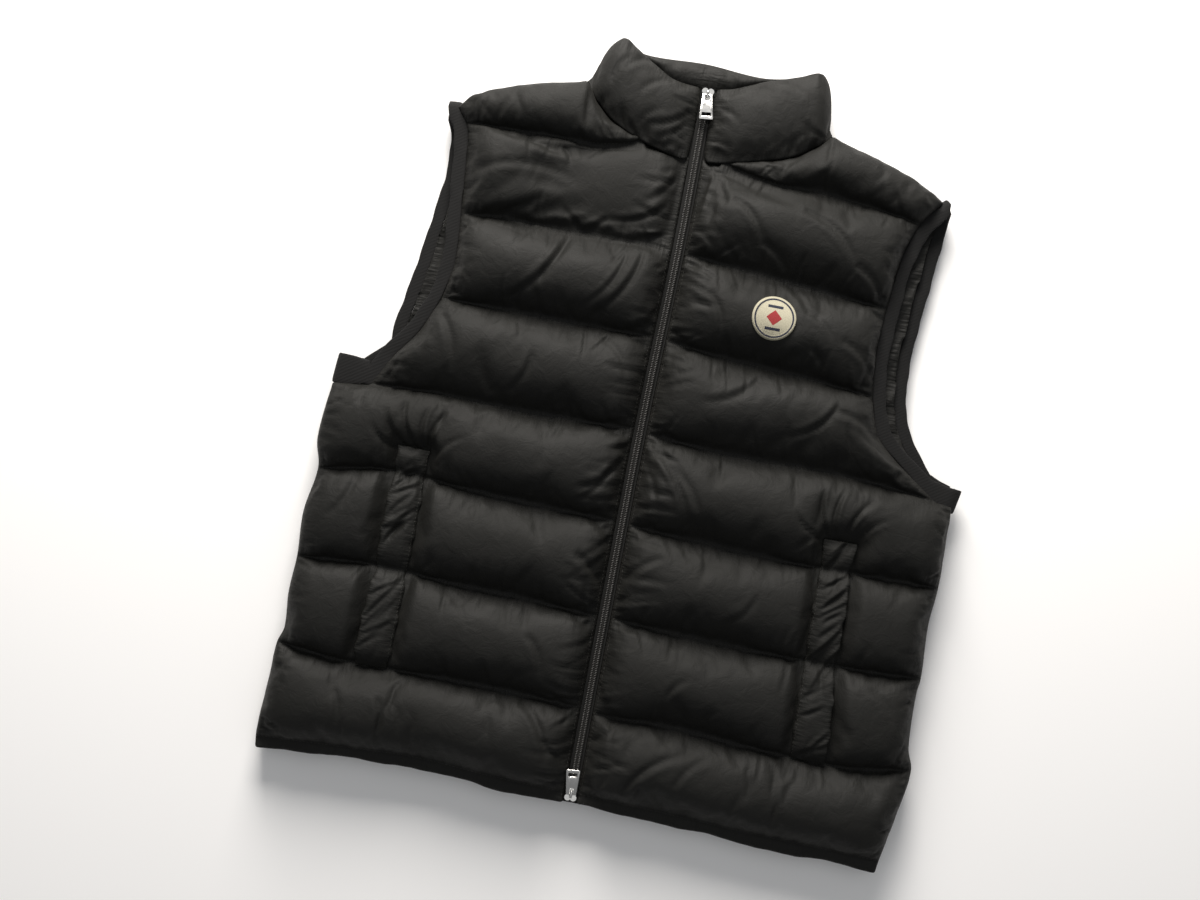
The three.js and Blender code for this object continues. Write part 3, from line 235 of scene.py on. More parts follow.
class Front:
    """One front's outlines, quilting lines and height, as functions made from its tables."""

    def __init__(self, table):
        self.__dict__.update(table)
        self.side_out = through(self.side_edge, "y", "out")
        self.armhole_out = through(self.armhole, "y", "out")
        self.neck_y = through(self.neck, "out", "y")
        self.shoulder_y = through(self.shoulder, "out", "y")
        self.corner = self.neck[-1]["out"]
        self.yoke = len(self.seams) - 1
        self.armpit_seam = next(i for i, s in enumerate(self.seams) if s["line"] == "armpit")
        self.lines = []
        for k, seam in enumerate(self.seams):
            steps = [seam[f"y{i}"] for i in range(5)]
            start = self.yoke_start if k == self.yoke else float(self.zip_edge(steps[0]))
            edge = self.side_out if k <= self.armpit_seam else self.armhole_out
            end = float(edge(steps[-1]))
            places = np.linspace(start, end, 5)
            table = [dict(out=o, y=y) for o, y in zip(places, steps)]
            self.lines.append((start, end, through(table, "out", "y")))

    def zip_edge(self, y):
        return self.side * zip_x(y) + ZIP_HALF

    def top_y(self, out):
        return np.where(out <= self.corner, self.neck_y(out), self.shoulder_y(out))

    def edge_out(self, k, y):
        return self.side_out(y) if k < self.armpit_seam else self.armhole_out(y)

    def spread(self, pins, first, last):
        """Places of the fine columns first to last. A pin is a coarse column and its place."""
        shares = [COARSE[c] for c, _ in pins]
        return np.interp(SHARES[first : last + 1], shares, [out for _, out in pins])

    def seam_row(self, k):
        """Quilting line k: the place and the height of each of its columns."""
        seam, (start, end, line) = self.seams[k], self.lines[k]
        last = ARMHOLE_COLUMN if k > self.armpit_seam else len(COARSE) - 1
        pins = [(0, float(self.zip_edge(seam["y0"])))]
        if k == self.yoke:
            pins.append((self.neck_column, start))
        if seam["welt_in"]:
            pins += [(WELT_FIRST, seam["welt_in"]), (WELT_LAST, seam["welt_out"])]
        if k == self.armpit_seam:
            pins.append((ARMHOLE_COLUMN, self.armpit))
        pins.append((last, end))
        out = self.spread(pins, 0, COLUMN[last])
        y = line(out)
        if k == self.yoke:
            on_neck = np.arange(len(out)) <= COLUMN[self.neck_column]
            y = np.where(on_neck, self.neck_y(out), y)
        return self.padded_row(0, out, y)

    def top_row(self):
        pins = [
            (self.neck_column, self.yoke_start),
            (self.corner_column, self.corner),
            (ARMHOLE_COLUMN, self.shoulder[-1]["out"]),
        ]
        first = COLUMN[self.neck_column]
        out = self.spread(pins, first, COLUMN[ARMHOLE_COLUMN])
        return self.padded_row(first, out, self.top_y(out))

    @staticmethod
    def padded_row(first, out, y):
        row = np.full((LAST + 1, 2), np.nan)
        row[first : first + len(out)] = np.stack([out, y], 1)
        return row

    def welt_groove(self, out, y):
        """How deep a point lies in the groove under the pocket welt, from 0 to 1."""
        crossed = [s for s in self.seams if s["welt_in"]]
        table = [dict(y=s["y3"], a=s["welt_in"], b=s["welt_out"]) for s in crossed]
        inside, outside = through(table, "y", "a")(y), through(table, "y", "b")(y)
        top = table[2]["y"] + (table[3]["y"] - table[2]["y"]) * WELT_TOP_SHARE
        off = np.maximum.reduce([inside - out, out - outside, np.zeros_like(out)]) / WELT_SIDE_RAMP
        over = np.maximum(y - top, 0) / WELT_END_RAMP
        under = np.maximum(table[0]["y"] - y, 0) / WELT_END_RAMP
        reach = np.clip(np.sqrt(off**2 + over**2 + under**2), 0, 1)
        return (1 - reach**2) ** 2

    def height(self, k, out, y):
        """Height of the outer cloth above the plain inside, in the channel above line k."""
        low = self.lines[k][2](out)
        if k == self.yoke:
            high = self.top_y(out)
        else:
            high = self.lines[k + 1][2](out)
            if k + 1 == self.yoke:
                high = np.where(out < self.yoke_start, self.neck_y(out), high)
        channel = np.maximum(high - low, 1e-3)
        reach = SIDE_ROUND if k < self.armpit_seam else ARMHOLE_ROUND
        loft = HEM_LOFT if k == 0 else LOFT * np.minimum(1, channel / FULL_CHANNEL) ** 0.6
        full = (
            channel_section((y - low) / channel)
            * fullness(out - self.zip_edge(y), zip_reach(y), ZIP_SOFTNESS)
            * fullness(self.edge_out(k, y) - out, reach)
        )
        return SEAM_WALL + loft * full * (1 - 0.66 * self.welt_groove(out, y))

    def strip(self, k, shares):
        """Rows of channel k at these shares of its height, its quilting line's row first."""
        low = self.seam_row(k)
        high = self.top_row() if k == self.yoke else self.seam_row(k + 1)
        first = COLUMN[self.neck_column] if k == self.yoke else 0
        last = LAST if k < self.armpit_seam else COLUMN[ARMHOLE_COLUMN]
        use = slice(first, last + 1)
        made = []
        for t in shares:
            row = np.full_like(low, np.nan)
            row[use] = low[use] * (1 - t) + high[use] * t
            shift = float(self.edge_out(k, row[last, 1])) - row[last, 0]
            ramp = (np.arange(first, last + 1) - first) / (last - first)
            row[use, 0] += shift * ramp**3
            made.append(row)
        if k <= self.armpit_seam:
            made[0] = low
        return made, first, last


def place(points):
    """Garment millimetres to the frame's metres."""
    return (np.asarray(points, float) + FOOT_OF_ZIP) * MM


# ---------------------------------------------------------------- meshes


def mesh_piece(name, points, faces, smooth=True):
    """A new mesh object from points in the frame's metres."""
    mesh = bpy.data.meshes.new(name)
    mesh.from_pydata([tuple(map(float, p)) for p in points], [], [tuple(map(int, f)) for f in faces])
    mesh.validate()
    mesh.shade_smooth() if smooth else mesh.shade_flat()
    piece = bpy.data.objects.new(name, mesh)
    bpy.context.scene.collection.objects.link(piece)
    return piece


def select_only(piece):
    bpy.ops.object.select_all(action="DESELECT")
    piece.select_set(True)
    bpy.context.view_layer.objects.active = piece


def apply_modifier(piece, kind, **settings):
    """Adds a modifier with these settings and applies it."""
    modifier = piece.modifiers.new(kind, kind)
    for key, value in settings.items():
        setattr(modifier, key, value)
    select_only(piece)
    bpy.ops.object.modifier_apply(modifier=modifier.name)


def coordinates(piece):
    co = np.empty(len(piece.data.vertices) * 3)
    piece.data.vertices.foreach_get("co", co)
    return co.reshape(-1, 3)


def set_coordinates(piece, co):
    piece.data.vertices.foreach_set("co", np.asarray(co, float).ravel())
    piece.data.update()


def smooth_over(values, radius):
    """Values averaged with their neighbours along an array."""
    kernel = np.hanning(2 * radius + 3)[1:-1]
    return np.convolve(np.pad(values, radius, mode="edge"), kernel / kernel.sum(), mode="valid")


CLOTH_FRAMES = 11


def inflate(piece, pressure, growth, most):
    """Blender's Cloth fills a padded piece, whose group "sewn" holds the stitched points. growth is
    how much larger the cloth is cut than its seams, and most caps how far a point moves, in metres."""
    start = coordinates(piece)
    modifier = piece.modifiers.new("Cloth", "CLOTH")
    cloth = modifier.settings
    cloth.quality = 5
    cloth.mass = 0.1
    cloth.tension_stiffness = cloth.compression_stiffness = 5
    cloth.shear_stiffness = 2
    cloth.bending_stiffness = 0.03
    cloth.vertex_group_mass = "sewn"
    cloth.use_pressure = True
    cloth.uniform_pressure_force = pressure
    cloth.shrink_min = -growth
    cloth.effector_weights.gravity = 0
    modifier.collision_settings.use_collision = False
    modifier.point_cache.frame_start, modifier.point_cache.frame_end = 1, CLOTH_FRAMES
    for number in range(1, CLOTH_FRAMES + 1):
        bpy.context.scene.frame_set(number)
    select_only(piece)
    bpy.ops.object.modifier_apply(modifier=modifier.name)
    piece.vertex_groups.clear()
    bpy.context.scene.frame_set(1)
    moved = coordinates(piece) - start
    length = np.linalg.norm(moved, axis=1, keepdims=True)
    eased = most * np.tanh(length / most)
    set_coordinates(piece, start + moved * eased / np.maximum(length, 1e-12))


# ---------------------------------------------------------------- the two fronts

START_FULLNESS = 0.86
STRIP_ROWS = {0: 3, 8: 12}
CHANNEL_ROW_COUNT = 19


def strip_shares(k):
    """Shares of a channel's height for its rows: closer beside the quilting lines."""
    count = STRIP_ROWS.get(k, CHANNEL_ROW_COUNT)
    t = np.arange(count) / count
    return t + 0.06 * np.sin(2 * np.pi * t) * -1 if k else t


def front_panel(front):
    """The front as a closed padded wall, with the numbers of its stitched points."""
    points, faces, sewn = [], [], []
    ids_below, open_rows = None, []
    for k in range(front.yoke + 1):
        made, first, last = front.strip(k, strip_shares(k))
        for r, row in enumerate(made):
            ids = np.full(LAST + 1, -1)
            for i in np.flatnonzero(~np.isnan(row[:, 0])):
                out, y = row[i]
                height = front.height(k, out, y)
                under_welt = float(front.welt_groove(out, y))
                start = START_FULLNESS + (1 - START_FULLNESS) * under_welt
                rise = SEAM_WALL + (float(height) - SEAM_WALL) * start
                ids[i] = len(points)
                points.append((front.side * out, y, FRONT_IN + rise))
                thin = k == front.yoke and front.top_y(out) - front.lines[k][2](out) < 13
                if i in (0, first, last) or r == 0 or k == 0 or thin or under_welt > 0.93:
                    sewn.append(ids[i])
            open_rows.append((ids, first, last))
    ids = np.full(LAST + 1, -1)
    for i, (out, y) in enumerate(front.top_row()):
        if not np.isnan(out):
            ids[i] = len(points)
            points.append((front.side * out, y, FRONT_IN + SEAM_WALL))
            sewn.append(ids[i])
    open_rows.append((ids, 0, 0))
    for (below, first, last), (above, _, _) in zip(open_rows, open_rows[1:]):
        for i in range(first, last):
            quad = [below[i], below[i + 1], above[i + 1], above[i]]
            if min(quad) >= 0:
                faces.append(quad if front.side > 0 else quad[::-1])
    return points, faces, sewn


def subdivide_open(piece):
    """One subdivision of a closed piece with its large plain inside face left out of it."""
    shape = bmesh.new()
    shape.from_mesh(piece.data)
    plain = [f for f in shape.faces if len(f.verts) > 20]
    bmesh.ops.delete(shape, geom=plain, context="FACES_ONLY")
    shape.to_mesh(piece.data)
    shape.free()
    apply_modifier(piece, "SUBSURF", levels=1, render_levels=1, boundary_smooth="PRESERVE_CORNERS")
    shape = bmesh.new()
    shape.from_mesh(piece.data)
    bmesh.ops.contextual_create(shape, geom=[e for e in shape.edges if e.is_boundary])
    bmesh.ops.recalc_face_normals(shape, faces=shape.faces)
    shape.to_mesh(piece.data)
    shape.free()
    piece.data.shade_smooth()


def close_below(piece, sewn, height):
    """Closes an open sheet with walls and one plain inside face at this height, in metres. The
    group "sewn" gets the stitched points, and the points below its edge with them."""
    piece.vertex_groups.new(name="sewn").add([int(i) for i in sewn], 1.0, "REPLACE")
    shape = bmesh.new()
    shape.from_mesh(piece.data)
    bmesh.ops.remove_doubles(shape, verts=shape.verts, dist=0.4 * MM)
    edges = [e for e in shape.edges if e.is_boundary]
    new = bmesh.ops.extrude_edge_only(shape, edges=edges)["geom"]
    low = [v for v in new if isinstance(v, bmesh.types.BMVert)]
    for v in low:
        v.co.z = height
    rim = [e for e in new if isinstance(e, bmesh.types.BMEdge) and e.is_boundary]
    bmesh.ops.contextual_create(shape, geom=rim)
    bmesh.ops.recalc_face_normals(shape, faces=shape.faces)
    shape.to_mesh(piece.data)
    shape.free()


def keep_clear_of_zip(piece, front):
    """Stops the filled cloth just short of the coil, where it bulges over the zip's tape."""
    x, y, z = (coordinates(piece) / MM - FOOT_OF_ZIP).T
    out = np.maximum(front.side * x, front.zip_edge(y) - 0.9)
    set_coordinates(piece, place(np.stack([front.side * out, y, z], 1)))


def creases_on(piece, table, floor_height, bow=0.12):
    """Presses creases into a padded piece: each a narrow trough with a low ridge beside it, which
    fades out towards its second end. Nothing moves at the seams, which lie at floor_height."""
    co = coordinates(piece)
    x, y = (co[:, :2] / MM - FOOT_OF_ZIP[:2]).T
    change = np.zeros(len(co))
    for c in table:
        start, run = np.array([c["x0"], c["y0"]]), np.array([c["x1"] - c["x0"], c["y1"] - c["y0"]])
        length, reach = np.hypot(*run), 5 * c["width"] + 0.15 * np.hypot(*run)
        low = np.minimum(start, start + run) - reach
        high = np.maximum(start, start + run) + reach
        near = np.flatnonzero((x > low[0]) & (x < high[0]) & (y > low[1]) & (y < high[1]))
        dx, dy = x[near] - start[0], y[near] - start[1]
        s = (dx * run[0] + dy * run[1]) / length**2
        off = (dx * run[1] - dy * run[0]) / length + bow * length * 4 * s * (1 - s)
        s = np.clip(s, 0, 1)
        taper = 1.75 * s**0.4 * (1 - s) ** 0.8
        trough = -np.exp(-(np.abs(off / c["width"]) ** 1.5))
        ridge = 0.4 * np.exp(-(((off - 1.9 * c["width"]) / c["width"]) ** 2))
        change[near] += c["depth"] * taper * (trough + ridge)
    room = np.clip((co[:, 2] / MM - floor_height) / 5, 0, 1)
    co[:, 2] += np.clip(change, -4.5, 1.8) * room * MM
    set_coordinates(piece, co)


def gathers(front):
    """Short sharp creases that run into the channels from seams, zip, side and armhole."""
    made = []

    def crease(out, y, degrees, length, depth, width):
        a = math.radians(degrees)
        end = (front.side * (out + length * math.cos(a)), y + length * math.sin(a))
        made.append(dict(x0=front.side * out, y0=y, x1=end[0], y1=end[1], depth=depth, width=width))

    for start, end, line in front.lines[1:]:
        for way in (90, -90):
            out = start + rng.uniform(5, 14)
            while out < end - 6:
                lean = rng.normal(0, 20) - 48 * math.exp(-(out - start) / 45) * (1 if way > 0 else -1)
                size = rng.uniform(0, 1) ** 2
                crease(out, float(line(out)), way + lean, 9 + 22 * size, 0.9 + 1.5 * size, rng.uniform(1.2, 2.0))
                out += rng.uniform(7, 21)
    y, top = 14.0, float(front.neck_y(8)) - 8
    levels = [float(line(start)) for start, _, line in front.lines[1:]]
    while y < top:
        toward = min(levels, key=lambda level: abs(level - y)) - y
        lean = 26 * math.exp(-abs(toward) / 22) * (-1 if toward > 0 else 1) + rng.normal(0, 13)
        size = rng.uniform(0, 1)
        crease(float(front.zip_edge(y)), y, lean, 14 + 30 * size, 1.2 + 1.9 * size, rng.uniform(1.3, 2.2))
        y += rng.uniform(6, 13)
    for edge, low, high, gap in ((front.side_out, 14, 300, 9), (front.armhole_out, 325, 545, 6)):
        y = float(low)
        while y < high:
            length, depth, width = rng.uniform(10, 24), rng.uniform(1.2, 2.6), rng.uniform(1.2, 2.0)
            crease(float(edge(y)) - 1, y, 180 + rng.normal(0, 26), length, depth, width)
            y += gap * rng.uniform(0.6, 1.5)
    return made


def seam_distances(front, x, y):
    """How far points lie from the nearest quilting line, and from the zip or the outer edge."""
    out = front.side * x
    quilting = np.min([np.abs(y - line(out)) for _, _, line in front.lines], axis=0)
    below_arm = y < front.lines[front.armpit_seam][2](out)
    outer = np.where(below_arm, front.side_out(y), front.armhole_out(y))
    return quilting, np.minimum(np.abs(out - front.zip_edge(y)), np.abs(outer - out))


def mark_gathering(piece, to_quilting, to_edge):
    """Stores how strongly each point is gathered, from its distances to both kinds of seam in mm."""
    for name, distance in (("by_quilting", to_quilting), ("by_edge", to_edge)):
        stored = piece.data.attributes.new(name, "FLOAT", "POINT")
        stored.data.foreach_set("value", np.exp(-np.asarray(distance) / 6.5).astype(np.float32))


def finish_edges(piece, front):
    """Lets the stitched hem wave a little, and closes the neck's edge up to the collar."""
    x, y, z = (coordinates(piece) / MM - FOOT_OF_ZIP).T
    out = front.side * x
    below = np.clip((front.lines[1][2](out) + 2 - y) / 9, 0, 1)
    y = y + below * (0.9 * np.sin(x / 17 + 1) + 0.45 * np.sin(x / 8.3))
    rise = 0.9 * np.sin(x / 12.5) + 0.7 * np.sin(x / 5.2 + 2) + 0.4 * np.sin((x + y) / 2.6)
    z = z + np.where(z > FRONT_IN + 2, below * rise, 0)
    by_zip = np.clip((front.yoke_start + 10 - out) / 12, 0, 1)
    y = y + 6.5 * by_zip * np.exp(-np.maximum(front.neck_y(out) - y, 0) / 8)
    from_corner = np.hypot(out - front.corner, y - float(front.neck_y(front.corner)))
    at_corner = np.exp(-((from_corner / 5.5) ** 2))
    y = y + 1.2 * at_corner
    set_coordinates(piece, place(np.stack([x, y, z], 1)))


CREASES = rows(
    "x0 y0 x1 y1 depth width",
    (-178, 505, -88, 512, 2.2, 3),
    (-12, 508, -60, 487, 3.5, 2.5),
    (-60, 487, -100, 470, 3, 2.5),
    (-3, 488, -70, 474, 2.7, 2.5),
    (-5, 543, -34, 506, 3.2, 2.5),
    (-107, 540, -98, 524, 2.7, 2),
    (-88, 468, -136, 404, 4.3, 3),
    (-25, 466, -60, 404, 3.8, 2.5),
    (-38, 462, -70, 410, 2.4, 2),
    (-8, 412, -32, 400, 2.7, 2.5),
    (-185, 388, -165, 336, 3.5, 3),
    (-100, 366, -118, 328, 2.4, 2.5),
    (-45, 388, -20, 358, 2.4, 2.5),
    (-4, 309, -26, 298, 3.2, 2),
    (-8, 298, -46, 260, 4.1, 2.5),
    (-18, 286, -48, 248, 2.7, 2),
    (-171, 266, -160, 304, 4.5, 1.8),
    (-174, 268, -176, 306, 3.5, 1.6),
    (-180, 268, -196, 308, 5, 1.8),
    (-188, 268, -212, 300, 4.5, 1.8),
    (-197, 266, -222, 286, 4, 1.6),
    (-166, 262, -140, 286, 3, 1.6),
    (-28, 238, -8, 214, 3.2, 2.5),
    (-36, 208, -5, 172, 4.6, 3),
    (-62, 134, -46, 98, 3, 2.5),
    (-58, 78, -28, 28, 3.8, 3),
    (-212, 62, -208, 26, 2.4, 2.5),
    (-175, 60, -172, 24, 2.4, 2.5),
    (-160, 58, -156, 30, 1.9, 2),
    (-262, 60, -250, 84, 2.7, 2.5),
    (-120, 240, -96, 214, 1.9, 2.5),
    (-140, 158, -112, 128, 1.9, 2.5),
    (-230, 232, -246, 200, 2.2, 2.5),
    (40, 522, 70, 490, 3.5, 2.5),
    (70, 490, 96, 468, 3, 2.5),
    (100, 522, 150, 485, 4.1, 3),
    (150, 485, 182, 453, 3.5, 2.5),
    (14, 491, 32, 477, 2.7, 2),
    (88, 466, 120, 435, 3.2, 2.5),
    (116, 440, 142, 419, 2.4, 2),
    (35, 442, 50, 404, 2.7, 2.5),
    (126, 410, 140, 392, 2.2, 2),
    (150, 421, 182, 394, 3, 2.5),
    (158, 368, 118, 334, 4.1, 2.5),
    (157, 362, 198, 342, 3.5, 2.5),
    (90, 378, 40, 350, 2.7, 3),
    (5, 311, 26, 299, 3, 2),
    (10, 306, 52, 240, 4.1, 2.5),
    (20, 300, 66, 240, 3, 2.5),
    (8, 291, 22, 244, 2.4, 2),
    (169, 260, 160, 300, 4.5, 1.8),
    (174, 262, 178, 302, 4, 1.8),
    (184, 262, 204, 296, 4.5, 1.8),
    (194, 259, 218, 282, 4, 1.6),
    (165, 257, 138, 276, 3.5, 1.6),
    (145, 243, 166, 259, 2.4, 2),
    (5, 184, 40, 217, 3.8, 2.5),
    (5, 172, 42, 186, 3, 2),
    (60, 103, 78, 122, 2.2, 2.5),
    (95, 88, 106, 100, 2.2, 2),
    (4, 44, 37, 73, 2.7, 2.5),
    (38, 17, 86, 59, 3.8, 3),
    (80, 30, 106, 60, 2.4, 2.5),
    (74, 2, 106, 12, 1.9, 2),
    (228, 140, 250, 112, 2.2, 2.5),
    (120, 200, 96, 172, 1.9, 2.5),
)

# ---------------------------------------------------------------- colours and materials


def linear(hex_colour):
    """An sRGB hex colour as the linear numbers that the shader takes."""
    parts = [int(hex_colour[i : i + 2], 16) / 255 for i in (1, 3, 5)]
    return [c / 12.92 if c <= 0.04045 else ((c + 0.055) / 1.055) ** 2.4 for c in parts] + [1.0]


def node(tree, kind, settings=None, **inputs):
    """Adds a node. settings are its own fields. Inputs are named by their socket, or by _ and its
    number, and each is a value or another node's output."""
    made = tree.nodes.new(kind)
    for key, value in (settings or {}).items():
        setattr(made, key, value)
    for key, value in inputs.items():
        socket = made.inputs[int(key[1:]) if key[0] == "_" else key.replace("_", " ")]
        if isinstance(value, bpy.types.NodeSocket):
            tree.links.new(value, socket)
        else:
            socket.default_value = value
    return made


def material(name, **surface):
    """A new material, its tree, its principled shader and its Object coordinates."""
    made = bpy.data.materials.new(name)
    made.use_nodes = True
    tree = made.node_tree
    shader = next(n for n in tree.nodes if n.type == "BSDF_PRINCIPLED")
    for key, value in surface.items():
        shader.inputs[key.replace("_", " ")].default_value = value
    return made, tree, shader, node(tree, "ShaderNodeTexCoord").outputs["Object"]


def math_node(tree, operation, a, b=0.0):
    return node(tree, "ShaderNodeMath", {"operation": operation}, _0=a, _1=b).outputs["Value"]


def mixed(tree, share, first, second):
    """Two colours mixed by a share."""
    made = node(tree, "ShaderNodeMix", {"data_type": "RGBA"}, _0=share, _6=first, _7=second)
    return made.outputs[2]


def shell_nylon():
    """The eye sees warm charcoal nylon: a soft satin sheen, fine crinkles, a weave too fine to count."""
    made, tree, shader, at = material("nylon taffeta, calendered", IOR=1.5, Sheen_Weight=0.02, Sheen_Roughness=0.5)
    shader.inputs["Sheen Tint"].default_value = linear("#b9b2a6")
    shader.inputs["Specular IOR Level"].default_value = 0.25
    mottled = node(tree, "ShaderNodeTexNoise", Vector=at, Scale=14.0, Detail=4.0, Roughness=0.55)
    tint = mixed(tree, mottled.outputs["Fac"], linear("#121210"), linear("#181816"))
    tree.links.new(tint, shader.inputs["Base Color"])
    rough = node(
        tree, "ShaderNodeMapRange",
        Value=mottled.outputs["Fac"], From_Min=0.3, From_Max=0.7, To_Min=0.64, To_Max=0.76,
    )
    tree.links.new(rough.outputs["Result"], shader.inputs["Roughness"])
    # Down-proof cloth wrinkles finely, some 6 to 12 mm apart.
    wrinkle = node(tree, "ShaderNodeTexNoise", Vector=at, Scale=85.0, Detail=5.0, Roughness=0.6, Distortion=0.6)
    soft = node(tree, "ShaderNodeBump", Height=wrinkle.outputs["Fac"], Strength=0.42, Distance=0.0022)
    # It is also crumpled lightly, in sharp little creases some 20 to 40 mm apart.
    crumple = node(
        tree, "ShaderNodeTexNoise", {"noise_type": "RIDGED_MULTIFRACTAL"},
        Vector=at, Scale=24.0, Detail=2.5, Roughness=0.5, Distortion=0.5,
    )
    sharp = node(
        tree, "ShaderNodeBump", Height=crumple.outputs["Fac"], Normal=soft.outputs["Normal"],
        Strength=0.3, Distance=0.0016,
    )
    # Beside stitching it is gathered into puckers some 3 mm apart, which run off the seam.
    puckers = 0.0
    for name, spread in (("by_quilting", (330, 75, 75)), ("by_edge", (75, 330, 75))):
        near = node(tree, "ShaderNodeAttribute", {"attribute_name": name}).outputs["Fac"]
        run = node(tree, "ShaderNodeMapping", Vector=at, Scale=spread).outputs["Vector"]
        ripple = node(tree, "ShaderNodeTexNoise", Vector=run, Scale=1.0, Detail=1.5).outputs["Fac"]
        puckers = math_node(tree, "ADD", puckers, math_node(tree, "MULTIPLY", near, ripple))
    gathered = node(
        tree, "ShaderNodeBump", Height=puckers, Normal=sharp.outputs["Normal"], Strength=0.75, Distance=0.0022,
    )
    # Threads are 0.2 mm apart on the real cloth, drawn 0.7 mm apart, the finest that shows.
    weave = node(tree, "ShaderNodeTexVoronoi", Vector=at, Scale=1 / 0.0007, Randomness=0.35)
    fine = node(
        tree, "ShaderNodeBump", Height=weave.outputs["Distance"], Normal=gathered.outputs["Normal"],
        Strength=0.12, Distance=0.00015,
    )
    tree.links.new(fine.outputs["Normal"], shader.inputs["Normal"])
    return made


def woven_tape(name, colour, rib, direction="X", roughness=0.85):
    """The eye sees a matt woven tape, darker than the shell, with ribs across it."""
    made, tree, shader, at = material(name, Roughness=roughness)
    shader.inputs["Specular IOR Level"].default_value = 0.3
    shader.inputs["Base Color"].default_value = linear(colour)
    ribs = node(
        tree, "ShaderNodeTexWave", {"wave_type": "BANDS", "bands_direction": direction},
        Vector=at, Scale=0.314 / rib, Distortion=0.6, Detail=1.0,
    )
    bump = node(tree, "ShaderNodeBump", Height=ribs.outputs["Fac"], Strength=0.5, Distance=0.0003)
    tree.links.new(bump.outputs["Normal"], shader.inputs["Normal"])
    return made


def coil_nylon():
    """The eye sees dark moulded nylon teeth with a faint shine."""
    made, tree, shader, _ = material("moulded nylon", Roughness=0.38)
    shader.inputs["Base Color"].default_value = linear("#262523")
    return made


def bright_zinc():
    """The eye sees polished, plated zinc alloy, barely clouded by handling."""
    made, tree, shader, at = material("plated zinc alloy", Metallic=1.0)
    shader.inputs["Base Color"].default_value = linear("#d6d5d2")
    cloud = node(tree, "ShaderNodeTexNoise", Vector=at, Scale=260.0, Detail=3.0)
    rough = node(
        tree, "ShaderNodeMapRange",
        Value=cloud.outputs["Fac"], From_Min=0.35, From_Max=0.65, To_Min=0.14, To_Max=0.26,
    )
    tree.links.new(rough.outputs["Result"], shader.inputs["Roughness"])
    return made


BADGE_AT = dict(x=91.0, y=429.0)
BADGE_RADIUS = 18.5
RING = dict(inner=15.2, outer=16.6)
DIAMOND = 6.6
BAR = dict(off=9.4, half_long=6.4, half_wide=1.2)


def embroidered_twill():
    """The eye sees cream twill with a navy stitched ring, a red diamond and two navy bars."""
    made, tree, shader, at = material("embroidered twill", Roughness=0.8)
    centre = place([BADGE_AT["x"], BADGE_AT["y"], 0.0])
    from_centre = node(tree, "ShaderNodeMapping", Vector=at, Location=(-centre[0] / MM, -centre[1] / MM, 0), Scale=(1 / MM,) * 3)
    x, y, _ = node(tree, "ShaderNodeSeparateXYZ", Vector=from_centre.outputs["Vector"]).outputs
    ax, ay = math_node(tree, "ABSOLUTE", x), math_node(tree, "ABSOLUTE", y)
    radius = math_node(
        tree, "SQRT", math_node(tree, "ADD", math_node(tree, "MULTIPLY", x, x), math_node(tree, "MULTIPLY", y, y))
    )
    ring = math_node(
        tree, "MULTIPLY",
        math_node(tree, "GREATER_THAN", radius, RING["inner"]),
        math_node(tree, "LESS_THAN", radius, RING["outer"]),
    )
    diamond = math_node(tree, "LESS_THAN", math_node(tree, "ADD", ax, ay), DIAMOND)
    off_bar = math_node(tree, "ABSOLUTE", math_node(tree, "SUBTRACT", ay, BAR["off"]))
    bars = math_node(
        tree, "MULTIPLY",
        math_node(tree, "LESS_THAN", off_bar, BAR["half_wide"]),
        math_node(tree, "LESS_THAN", ax, BAR["half_long"]),
    )
    navy = math_node(tree, "MAXIMUM", ring, bars)
    with_red = mixed(tree, diamond, linear("#a9a48f"), linear("#8a2224"))
    colour = mixed(tree, navy, with_red, linear("#171c2e"))
    tree.links.new(colour, shader.inputs["Base Color"])
    # Twill ribs on the ground and satin stitches, 0.6 mm apart, on the coloured parts.
    slanted = node(tree, "ShaderNodeMapping", Vector=at, Rotation=(0, 0, math.radians(40)))
    threads = node(
        tree, "ShaderNodeTexWave", {"wave_type": "BANDS"}, Vector=slanted.outputs["Vector"], Scale=0.314 / 0.0007,
    )
    raised = math_node(tree, "MAXIMUM", navy, diamond)
    height = math_node(tree, "ADD", math_node(tree, "MULTIPLY", raised, 2.0), threads.outputs["Fac"])
    bump = node(tree, "ShaderNodeBump", Height=height, Strength=0.6, Distance=0.0003)
    tree.links.new(bump.outputs["Normal"], shader.inputs["Normal"])
    return made


NYLON = shell_nylon()
TAPE = woven_tape("elastic woven tape", "#111111", 0.0012, "Y")
ZIP_TAPE = woven_tape("woven polyester tape", "#131312", 0.0009, "Y")
THREAD = woven_tape("polyester thread", "#2a2a27", 0.0006, "DIAGONAL", 0.6)
COIL = coil_nylon()
METAL = bright_zinc()
TWILL = embroidered_twill()


def finish_with(piece, made, body="vest", replaces=()):
    """Gives a piece its one material and its body, and hides the nodes it stands for."""
    piece.data.materials.clear()
    piece.data.materials.append(made)
    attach(piece, body)
    if replaces:
        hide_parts(*replaces)


# ---------------------------------------------------------------- shells from grids of points


def closed_sheet(over, under):
    """Points and faces of a closed wall between two equal grids of points, rows by columns."""
    r, c = over.shape[:2]
    up = np.arange(r * c).reshape(r, c)
    low = up + r * c
    quads = np.stack([up[:-1, :-1], up[:-1, 1:], up[1:, 1:], up[1:, :-1]], -1).reshape(-1, 4)
    rim = np.concatenate([up[0], up[1:, -1], up[-1, -2::-1], up[-2:0:-1, 0]])
    on = np.roll(rim, -1)
    wall = np.stack([rim + r * c, on + r * c, on, rim], -1)
    faces = np.concatenate([quads, quads[:, ::-1] + r * c, wall])
    return np.concatenate([over.reshape(-1, 3), under.reshape(-1, 3)]), faces


